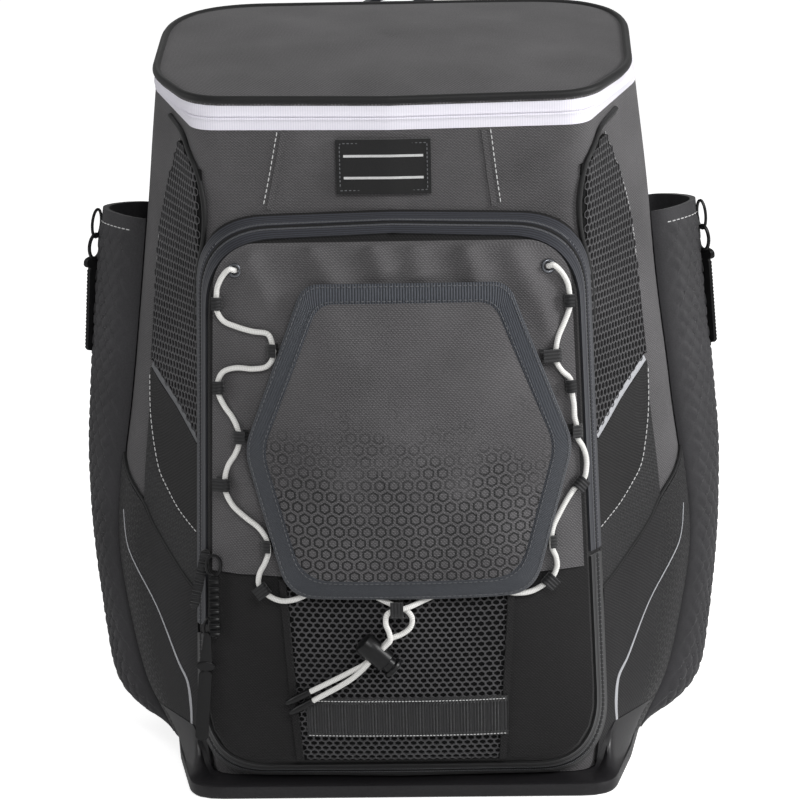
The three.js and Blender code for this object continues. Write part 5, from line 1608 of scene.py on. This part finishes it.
# %% Grommets
grommet = Sizes(x=95, z=340, outer=4.6, inner=2.3, height=1.6, lift=2.1)
for sign, side in SIDES:
    out = face_normal(sign * grommet.x, grommet.z)
    matrix = axis_matrix(on_face(sign * grommet.x, grommet.z, grommet.lift), out, Vector((0, 0, 1)))
    ring = []
    for i in range(13):
        turn = math.pi * i / 12
        middle, half = (grommet.outer + grommet.inner) / 2, (grommet.outer - grommet.inner) / 2
        ring.append((middle + half * math.cos(turn), grommet.height * math.sin(turn)))
    ring.append(ring[0])
    pattern = Pattern()
    pattern.lathe(ring, 40, matrix)
    make_piece(f"rolled_grommet_{side}", pattern, gunmetal, "gunmetal", [f"grommet_{side}"], weld=0.01)

# %% Cord lock
lock = Sizes(
    x=-13, z=104, lift=9.4, radius=7.2, bore=5.2, back=12, front=8, end_wall=3, stem=4.9, stem_back=4.5,
    neck=4.3, flange_radius=6.8, flange=3, travel=4, hole_width=4.6, hole_height=8, turn=0.757, sides=48,
)
lock_out = face_normal(lock.x, lock.z)
lock_run = Vector((math.sin(-lock.turn), 0, -math.cos(lock.turn)))
lock_run = (lock_run - lock_out * lock_run.dot(lock_out)).normalized()
lock_axis = lock_run.cross(lock_out).normalized()
if lock_axis.x < 0:
    lock_axis.negate()
lock_matrix = axis_matrix(on_face(lock.x, lock.z, lock.lift), lock_axis, lock_out)


def cut_cross_hole(piece, start, finish):
    """Cut the slot for the two strands of cord, across the lock."""
    cutter = Pattern()
    corners = []
    half, deep = lock.hole_height / 2, lock.radius * 1.5
    for x in (start, finish):
        corners.append([lock_matrix @ Vector((x, y, z)) for y, z in (
            (-half, -deep), (half, -deep), (half, deep), (-half, deep))])
    first = cutter.grid(corners, wrap=True)
    cutter.face([first, first + 1, first + 2, first + 3])
    cutter.face([first + 4, first + 5, first + 6, first + 7])
    tool = add_object("cutter", mesh_of("cutter", cutter))
    cut = piece.modifiers.new("cross_hole", "BOOLEAN")
    cut.operation = "DIFFERENCE"
    cut.solver = "EXACT"
    cut.object = tool
    bpy.context.view_layer.update()
    cut_mesh = bpy.data.meshes.new_from_object(piece.evaluated_get(bpy.context.evaluated_depsgraph_get()))
    piece.modifiers.remove(cut)
    piece.data = cut_mesh
    bpy.data.objects.remove(tool)


def turned_body(name, profile, body_name, replaces):
    pattern = Pattern()
    pattern.lathe([(max(radius, 0.01), along) for radius, along in profile], lock.sides, lock_matrix)
    return make_piece(name, pattern, acetal, "acetal", replaces, body=body_name, weld=0.02)


barrel = turned_body("lock_barrel", [
    (0, -lock.back), (lock.radius - 1.6, -lock.back), (lock.radius - 0.5, 0.5 - lock.back),
    (lock.radius, 1.6 - lock.back), (lock.radius, 1 - lock.stem_back), (lock.radius, lock.front - 0.6),
    (lock.radius - 0.6, lock.front), (lock.bore, lock.front), (lock.bore, lock.end_wall - lock.back),
    (0, lock.end_wall - lock.back),
], "bag", ["cord_lock_barrel"])
cut_cross_hole(barrel, -lock.hole_width / 2, lock.hole_width / 2)
neck_end = lock.front + lock.neck
flange_end = neck_end + lock.flange
plunger = turned_body("lock_plunger", [
    (0, -lock.stem_back), (lock.stem, -lock.stem_back), (lock.stem, neck_end),
    (lock.flange_radius - 0.4, neck_end), (lock.flange_radius, neck_end + 0.5),
    (lock.flange_radius, flange_end - 1), (lock.flange_radius - 0.4, flange_end - 0.3),
    (lock.flange_radius - 1.2, flange_end), (0, flange_end),
], "plunger", ["cord_lock_plunger"])
cut_cross_hole(plunger, -lock.hole_width / 2, lock.hole_width / 2 + lock.travel)

# %% [markdown]
# ## The bat sleeves
# A sleeve of thick neoprene on each side, moulded with a field of slanted diamonds. The relief is real
# here: each tile is a pillow that rises to one corner, with a groove round it. The top is folded over
# and stitched, and the foot is drawn in to a rounded end.

# %% Bat sleeves
sleeve = Sizes(
    thickness=3, front=2.1, rear=2.78, top=347, bottom=12, depth=26, seat=0.9, hem=9, flat_width=150,
)
# height, how far the sleeve stands off the body, both as shares
SLEEVE_ROWS = [
    (0.00, 0.04), (0.04, 0.42), (0.10, 0.74), (0.20, 0.66), (0.27, 0.60), (0.38, 0.60), (0.60, 0.87),
    (0.83, 0.97), (1.00, 1.00),
]
tile = Sizes(width=15.0, height=14.0, skew=0.3, depth=3.4)


def tile_lift(x, y):
    """The relief of the moulded diamonds at a flat place of the sleeve."""
    p, q = (x + y * tile.skew) / tile.width, y / tile.height
    a, b = (p + q) % 1, (p - q) % 1
    edge = max(abs(2 * a - 1), abs(2 * b - 1))
    return tile.depth * (1 - edge ** 7) * (0.45 + 0.55 * b)


def sleeve_stand(u, v):
    shape = max(math.sin(math.pi * u), 0) ** 0.7
    return sleeve.seat + sleeve.depth * table_value(SLEEVE_ROWS, 1, v) * shape


def bat_sleeve(sign, side):
    columns, rows = 108, 170
    height = sleeve.top - sleeve.bottom

    def sheet(outside):
        def spot(u, v):
            z = sleeve.bottom + height * v
            place = sign * (sleeve.front + (sleeve.rear - sleeve.front) * u)
            lift = sleeve_stand(u, v)
            if outside:
                edge = min(1, 12 * u, 12 * (1 - u), 20 * v)
                hem = z > sleeve.top - sleeve.hem
                relief = 1.3 if hem else tile_lift(u * sleeve.flat_width, z) * edge
                lift += sleeve.thickness - 0.6 + relief * min(1, 25 * v)
            return on_body(place, z, lift)

        return sheet_of(spot, columns, rows)

    make_sheet(f"neoprene_sleeve_{side}", sheet(True), sheet(False), neoprene, "neoprene",
               [f"bat_sleeve_{side}"], sharp=60)
    path, outs = [], []
    for c in range(61):
        u = 0.04 + 0.92 * c / 60
        place = sign * (sleeve.front + (sleeve.rear - sleeve.front) * u)
        z = sleeve.top - sleeve.hem + 1.5
        path.append(on_body(place, z, sleeve_stand(u, 1) + sleeve.thickness + 0.8))
        outs.append(body_normal(place, z))
    make_seams(f"sleeve_stitches_{side}", [(path, outs)], light_thread, "neoprene")


for sign, side in SIDES:
    bat_sleeve(sign, side)

# %% [markdown]
# ## Zipper pulls
# Plain pulls hang from the sliders. Each is made of closed loops of wire, a moulded bar and a tab, which
# may have ribs across it for the fingers.

# %% Zipper pulls
pull = Sizes(
    thickness=2.4, short_y=-97.7, ring_y=-103, long_y=-100.3, sleeve_length=88, drop=2, forward=0.05,
)


def pull_frame(start, end, y):
    one, two = Vector((start[0], y, start[1])), Vector((end[0], y, end[1]))
    along = (two - one).normalized()
    aside = Vector((-along.z, 0, along.x))
    return one, two, along, aside, Vector((0, -1, 0))


def tab(pattern, one, two, aside, out, half, thickness, ribs=0.0):
    """A moulded tab with rounded ends and, if asked, ribs across it."""
    length = (two - one).length

    def sheet(level, shaped):
        def spot(u, t):
            end = min(t, 1 - t) * length
            width = half(t) * math.sqrt(max(0.02, 1 - max(0, 1 - end / 3) ** 2))
            across = 2 * u - 1
            rise = level
            if shaped:
                rise += ribs * math.sin(t * length * 2 * math.pi / 2.4) - 0.5 * abs(across) ** 3
            return one.lerp(two, t) + aside * width * across + out * rise

        return sheet_of(spot, 6, 60)

    pattern.shell(sheet(thickness, True), sheet(0, False))


def wire_loop(pattern, centre, along, aside, length, width, radius):
    """A closed loop of wire, long along one way."""
    path = []
    for i in range(28):
        turn = 2 * math.pi * i / 28
        path.append(centre + along * length / 2 * math.cos(turn) + aside * width / 2 * math.sin(turn))
    pattern.tube(path, radius, 8, closed=True)


def front_pulls():
    one, two, along, aside, out = pull_frame((-119.3, 163), (-128.3, 125), pull.short_y)
    pattern = Pattern()
    tab(pattern, one, two, aside, out, lambda t: 3.0, pull.thickness, ribs=0.4)
    make_piece("short_pull", pattern, webbing, "webbing", ["front_pull_short"])

    one, two, along, aside, out = pull_frame((-114.5, 160), (-115, 107), pull.ring_y)
    pattern = Pattern()
    wire_loop(pattern, one + along * 6 + out * 1.2, along, aside, 13, 9, 1.0)
    tab(pattern, one + along * 12, two, aside, out, lambda t: 3.0, pull.thickness, ribs=0.5)
    make_piece("ring_pull", pattern, acetal, "acetal", ["front_pull_ring"])

    one, two, along, aside, out = pull_frame((-119, 119), (-126, 39), pull.long_y)
    pattern = Pattern()
    wire_loop(pattern, one + along * 6 + out * 1.2, along, aside, 12, 5, 0.9)
    tab(pattern, one + along * 9, one + along * 31, aside, out, lambda t: 2.0 + 2.0 * t, pull.thickness)
    tab(pattern, one + along * 28, one + along * 34, aside, out, lambda t: 5.8, pull.thickness + 0.6)
    tab(pattern, one + along * 34, two, aside, out, lambda t: 4.1, pull.thickness - 0.4)
    make_piece("long_pull", pattern, acetal, "acetal", ["front_pull_long"])


def sleeve_pull(sign, side):
    place = sign * ((sleeve.front + sleeve.rear) / 2 - pull.forward)

    def spot(t):
        z = sleeve.top - pull.drop - t * pull.sleeve_length
        v = (z - sleeve.bottom) / (sleeve.top - sleeve.bottom)
        reach = sleeve.depth * table_value(SLEEVE_ROWS, 1, v) + sleeve.thickness + 1.9
        return on_body(place, z, reach)

    pattern = Pattern()
    aside = Vector((0.75 * sign, -0.66, 0))
    top, link, bar, end = spot(0.0), spot(0.16), spot(0.3), spot(1.0)
    out = body_normal(place, 300)
    proud = out * 2.6
    for one, two, width, radius in ((top, link, 7, 1.0), (link, bar, 9, 1.2)):
        run = two - one
        centre = one.lerp(two, 0.5) + proud
        wire_loop(pattern, centre, run.normalized(), aside, run.length + 2, width, radius)
    tab(pattern, bar + proud, bar.lerp(end, 0.12) + proud, aside, out, lambda t: 5.2, pull.thickness + 0.6)
    tab(pattern, bar.lerp(end, 0.1) + proud, end + out, aside, out, lambda t: 2.9, pull.thickness, ribs=0.3)
    make_piece(f"sleeve_zip_pull_{side}", pattern, acetal, "acetal", [f"sleeve_pull_{side}"])


front_pulls()
for sign, side in SIDES:
    sleeve_pull(sign, side)

# %% [markdown]
# ## The label patch and the seams of the upper front
# The patch is plain: a black woven patch with two light bars and a stitched edge. Beside it two
# felled seams run down from the zipper, each with a row of light stitches.

# %% Label patch
label = Sizes(x=-4, z=400.5, width=58, height=34, seat=0.6, face=2.8)


def label_point(u, v, lift):
    x = label.x + label.width * (u - 0.5)
    z = label.z + label.height * (v - 0.5)
    return Vector((x, body_front_y(x, z) - lift, z))


def label_patch():
    def sheet(level):
        return sheet_of(lambda u, v: label_point(u, v, level), 24, 14)

    make_sheet("woven_patch", sheet(label.face), sheet(label.seat), piping_cloth,
               "black_twill", ["label_patch"])
    ahead = Vector((0, -1, 0))
    corners = [(0.04, 0.07), (0.96, 0.07), (0.96, 0.93), (0.04, 0.93), (0.04, 0.07)]
    border = [label_point(u, v, label.face + 0.1) for u, v in corners]
    make_seams("patch_stitches", [(border, [ahead] * 5)], grey_stitching_and_shaded_bar, "webbing", length=1.6, pitch=2.6)
    lines = []
    for height in (0.3, 0.7):
        line = [label_point(0.08 + 0.84 * i / 12, height, label.face) for i in range(13)]
        lines.append((line, [ahead] * 13))
    make_strips("patch_bars", lines, lambda t: 1.5, 0.4, light_thread, "webbing")


label_patch()
for sign, top, foot in ((-1, 0.58, 0.68), (1, 0.52, 0.58)):
    side = "l" if sign < 0 else "r"
    rows = [(top, 422), ((top + foot) / 2, 398), (foot, 374)]
    make_seams(f"front_seam_stitches_{side}", [body_path(sign, rows, 0.35)], light_thread, "webbing")
    fold = body_path(sign, [(place - 0.035, z) for place, z in rows], 0.1)
    make_strips(f"front_seam_fold_{side}", [fold], lambda t: 3.4, 0.8, charcoal_twill, "charcoal_twill")

# %% [markdown]
# ## The base
# The base is a shallow tray of coated cloth with a chamfered lower edge that the bag stands on. At the
# sides the cloth turns up and draws in to the foot of the body.

# %% Base
base = Sizes(height=9, half_front=133, front_y=-104, half_side=147, side_y=-30, half_rear=163, rear_y=98,
             chamfer=3, front_radius=22, side_radius=60, turn_up=26, stand=3.2, calm=22)


def base_tray():
    def ring(inset, z):
        corners = [
            (0, base.front_y + inset), (base.half_front - inset, base.front_y + inset),
            (base.half_side - inset, base.side_y), (base.half_rear - inset, base.rear_y - inset),
            (0, base.rear_y - inset),
        ]
        walk = walker(*rounded_half(corners, [base.front_radius, base.side_radius, body.rear_radius]))
        return [Vector((flat.x, flat.y, z)) for flat in closed_loop(walk, 4, BODY_AROUND)]

    rings = [ring(base.chamfer, 0), ring(1.1, 0.5), ring(0.3, 1.6), ring(0, base.chamfer), ring(0, 6.5),
             ring(0.4, 8.4), ring(1.4, base.height)]

    def foot(share, stand):
        return body_ring(base.height + base.turn_up * share, stand)

    def turned_up(share, stand, reach):
        row = []
        for low, high in zip(ring(1.4, base.height), foot(share, stand)):
            rise = min(1, max(0, (high.y - body.front_y) / base.calm))
            rise = rise * rise * (3 - 2 * rise)
            spot = low.lerp(high, reach)
            row.append(Vector((spot.x, spot.y, base.height + base.turn_up * share * rise)))
        return row

    rings += [turned_up(share, base.stand, share ** 0.6) for share in (0.12, 0.3, 0.5, 0.7, 0.86, 1)]
    rings += [turned_up(1, 0.3, 1), turned_up(0, 0.3, 1)]
    pattern = Pattern()
    pattern.loft(rings, Vector((0, 0, 0)), Vector((0, 0, base.height)))
    return make_piece("base_tray", pattern, base_cloth, "base_cloth", ["base_panel"], lay="xy")


base_tray()

# %% [markdown]
# ## The back: foam panel, shoulder straps and handle
# The back is a foam panel under air knit, with channels pressed into it. The straps are the same foam
# between two cloths, bound at the edge, and end in a ladder lock with its webbing. The haul handle is a
# rolled strap that just shows above the lid.

# %% Back panel
back = Sizes(half_width=118, bottom=30, top=428, thickness=10, radius=34, gap=0.3)
back_face = body.rear_y + back.gap + back.thickness


def back_half(z):
    edge = min(z - back.bottom, back.top - z)
    inside = max(0, 1 - edge / back.radius)
    return back.half_width - back.radius * (1 - math.sqrt(max(0, 1 - inside ** 2)))


def back_relief(x, z):
    """Pressed channels in the foam: one down the middle and three across."""
    channel = math.exp(-(x / 7) ** 2)
    for height in (120, 215, 310):
        channel = max(channel, math.exp(-((z - height - abs(x) * 0.12) / 5) ** 2))
    return -4.5 * channel


def back_panel():
    columns, rows = 70, 110

    def sheet(front):
        def spot(u, v):
            z = back.bottom + (back.top - back.bottom) * v
            x = back_half(z) * (2 * u - 1)
            edge = min(1 - abs(2 * u - 1), min(z - back.bottom, back.top - z) / 60)
            rim = min(1, max(0, edge) * 9) ** 0.5
            y = back_face - (1 - rim) * 6 + back_relief(x, z) * rim
            return Vector((x, y if front else body.rear_y + 0.4, z))

        return sheet_of(spot, columns, rows)

    piece = make_sheet("back_foam_panel", sheet(True), sheet(False), air_knit, "air_mesh", ["back_panel"])
    return piece


back_panel()

# %% Shoulder straps
strap = Sizes(width=62, thickness=9)
# x, distance behind the back panel, z, share of the full width
STRAP_ROWS = [
    (46, 0, 416.5, 1.0), (46, 16, 414.5, 1.0), (54, 34, 398, 1.0), (62, 45, 350, 1.0), (72, 50, 285, 0.97),
    (82, 46, 220, 0.9), (91, 32, 170, 0.82), (97, 14, 140, 0.78),
]
strap_web = Sizes(width=25, thickness=1.6, end_x=112, end_z=42)
buckle = Sizes(height=24, aside=1, tuck=6, below=4, web_drop=6)


def bent_strip(rows, width, thickness, columns, steps):
    """The two sides of a strap through rows of places, with rounded edges."""
    path = smooth_path([row[:3] for row in rows], steps)
    shares = smooth_path([(row[3], 0, 0) for row in rows], steps)
    outer, inner = [], []
    for i, point in enumerate(path):
        along = path[min(i + 1, len(path) - 1)] - path[max(i - 1, 0)]
        outward = Vector((0, -along.z, along.y)).normalized()
        wide = along.cross(outward).normalized()
        if wide.x < 0:
            wide.negate()
        far, near = [], []
        for c in range(columns + 1):
            u = 2 * c / columns - 1
            spot = point + wide * u * width * shares[i].x / 2
            rim = 1 - abs(u) ** 6
            far.append(spot + outward * thickness * (0.5 + 0.5 * rim))
            near.append(spot + outward * thickness * 0.5 * (1 - rim))
        outer.append(far)
        inner.append(near)
    return outer, inner


def shoulder_strap(sign, side):
    rows = [(sign * x, back_face + back.gap + y, z, share) for x, y, z, share in STRAP_ROWS]
    piece = make_sheet(f"padded_strap_{side}", *bent_strip(rows, strap.width, strap.thickness, 24, 8),
                       air_knit, "air_mesh", [f"shoulder_strap_{side}"])
    x, y, z, _ = STRAP_ROWS[-1]
    low = z - buckle.height - buckle.below - buckle.web_drop
    web = [
        (sign * (x + buckle.aside + 3), back_face + back.gap + y - buckle.tuck, low, 1),
        (sign * ((x + strap_web.end_x) / 2 + 5), back_face + 3.3, (z + strap_web.end_z) / 2, 1),
        (sign * strap_web.end_x, back_face + back.gap, strap_web.end_z, 1),
    ]
    make_sheet(f"adjuster_webbing_{side}", *bent_strip(web, strap_web.width, strap_web.thickness, 8, 14),
               webbing, "webbing", [f"strap_webbing_{side}"])


for sign, side in SIDES:
    shoulder_strap(sign, side)

# %% [markdown]
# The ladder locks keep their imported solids, which have the right shape: a frame with two slots. A
# bevelled copy rounds the edges as a moulding is rounded.

# %% Ladder locks
for _, side in SIDES:
    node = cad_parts[f"strap_buckle_{side}"]
    copy = add_object(f"ladder_lock_{side}", node.data.copy())
    copy.matrix_world = node.matrix_world.copy()
    bevel = copy.modifiers.new("rounding", "BEVEL")
    bevel.width = 0.8 * MM
    bevel.segments = 3
    bevel.limit_method = "ANGLE"
    copy.data.materials.clear()
    copy.data.materials.append(acetal)
    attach(copy, "bag")
    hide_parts(f"strap_buckle_{side}")

# %% Haul handle
handle = Sizes(half_span=45, top=484, width=25, thickness=3, offset=15)


def haul_handle():
    low, steps = back.top + 0.6, 48
    outer, inner = [], []
    for i in range(steps + 1):
        angle = math.pi * (1 - i / steps)
        far, near = [], []
        for c in range(9):
            u = c / 8
            y = body.rear_y + handle.offset + (u - 0.5) * handle.width * (0.35 + 0.65 * math.sin(angle))
            arch = max(math.sin(angle), 0) ** 0.8
            for row, shrink, roll in ((far, 0, -0.5 * abs(2 * u - 1) ** 4), (near, handle.thickness, 0)):
                radius = handle.half_span - shrink
                rise = handle.top - low - shrink + roll
                row.append(Vector((radius * math.cos(angle), y, low + rise * arch)))
        outer.append(far)
        inner.append(near)
    make_sheet("haul_handle_webbing", outer, inner, graphite_tape, "webbing", ["haul_handle"])


haul_handle()

# %% [markdown]
# ## Floor and light
# A pale floor that runs out of the picture, a dim soft sky that looks white to the camera, and four
# large lamps: one over the camera, a weak one above for the lid, a strong one at the right, which
# draws the folds and the relief, and a weak one at the left.

# %% Stage
scene = bpy.context.scene
scene.view_settings.view_transform = "Standard"
floor_mesh = bpy.data.meshes.new("floor")
floor_mesh.from_pydata([(-6, -6, 0), (6, -6, 0), (6, 6, 0), (-6, 6, 0)], [], [(0, 1, 2, 3)])
floor = add_object("floor", floor_mesh)
floor_finish, floor_tree, floor_shader = new_finish("pale_studio_floor", roughness=0.9)
floor_shader.inputs["Base Color"].default_value = linear("#f4f4f4")
floor_shader.inputs["Emission Color"].default_value = (1, 1, 1, 1)
floor_seen = add_node(floor_tree, "ShaderNodeLightPath").outputs["Is Camera Ray"]
floor_glow = maths(floor_tree, "MULTIPLY", floor_seen, 0.75)
floor_tree.links.new(floor_glow, floor_shader.inputs["Emission Strength"])
floor_mesh.materials.append(floor_finish)

world = bpy.data.worlds.new("studio")
scene.world = world
world.use_nodes = True
sky = world.node_tree.nodes["Background"]
sky.inputs[0].default_value = (1, 1, 1, 1)
seen = add_node(world.node_tree, "ShaderNodeLightPath").outputs["Is Camera Ray"]
strength = add_node(world.node_tree, "ShaderNodeMapRange", {"Value": seen, "To Min": 0.3, "To Max": 1.0})
world.node_tree.links.new(strength.outputs[0], sky.inputs[1])

# name, place in metres, width, power in watts
LAMPS = [
    ("front_softbox", (0.7, -2.4, 1.9), 0.9, 30),
    ("top_softbox", (0.1, 0.6, 2.2), 1.2, 2),
    ("right_softbox", (2.2, -0.7, 1.1), 0.7, 42),
    ("left_softbox", (-2.2, -0.5, 1.0), 0.7, 9),
]
for name, place, width, power in LAMPS:
    data = bpy.data.lights.new(name, "AREA")
    data.shape = "SQUARE"
    data.size = width
    data.energy = power
    lamp = add_object(name, data)
    lamp.location = place
    lamp.rotation_euler = (Vector((0, 0, 0.24)) - Vector(place)).to_track_quat("-Z", "Y").to_euler()
print("lamps:", len(LAMPS))
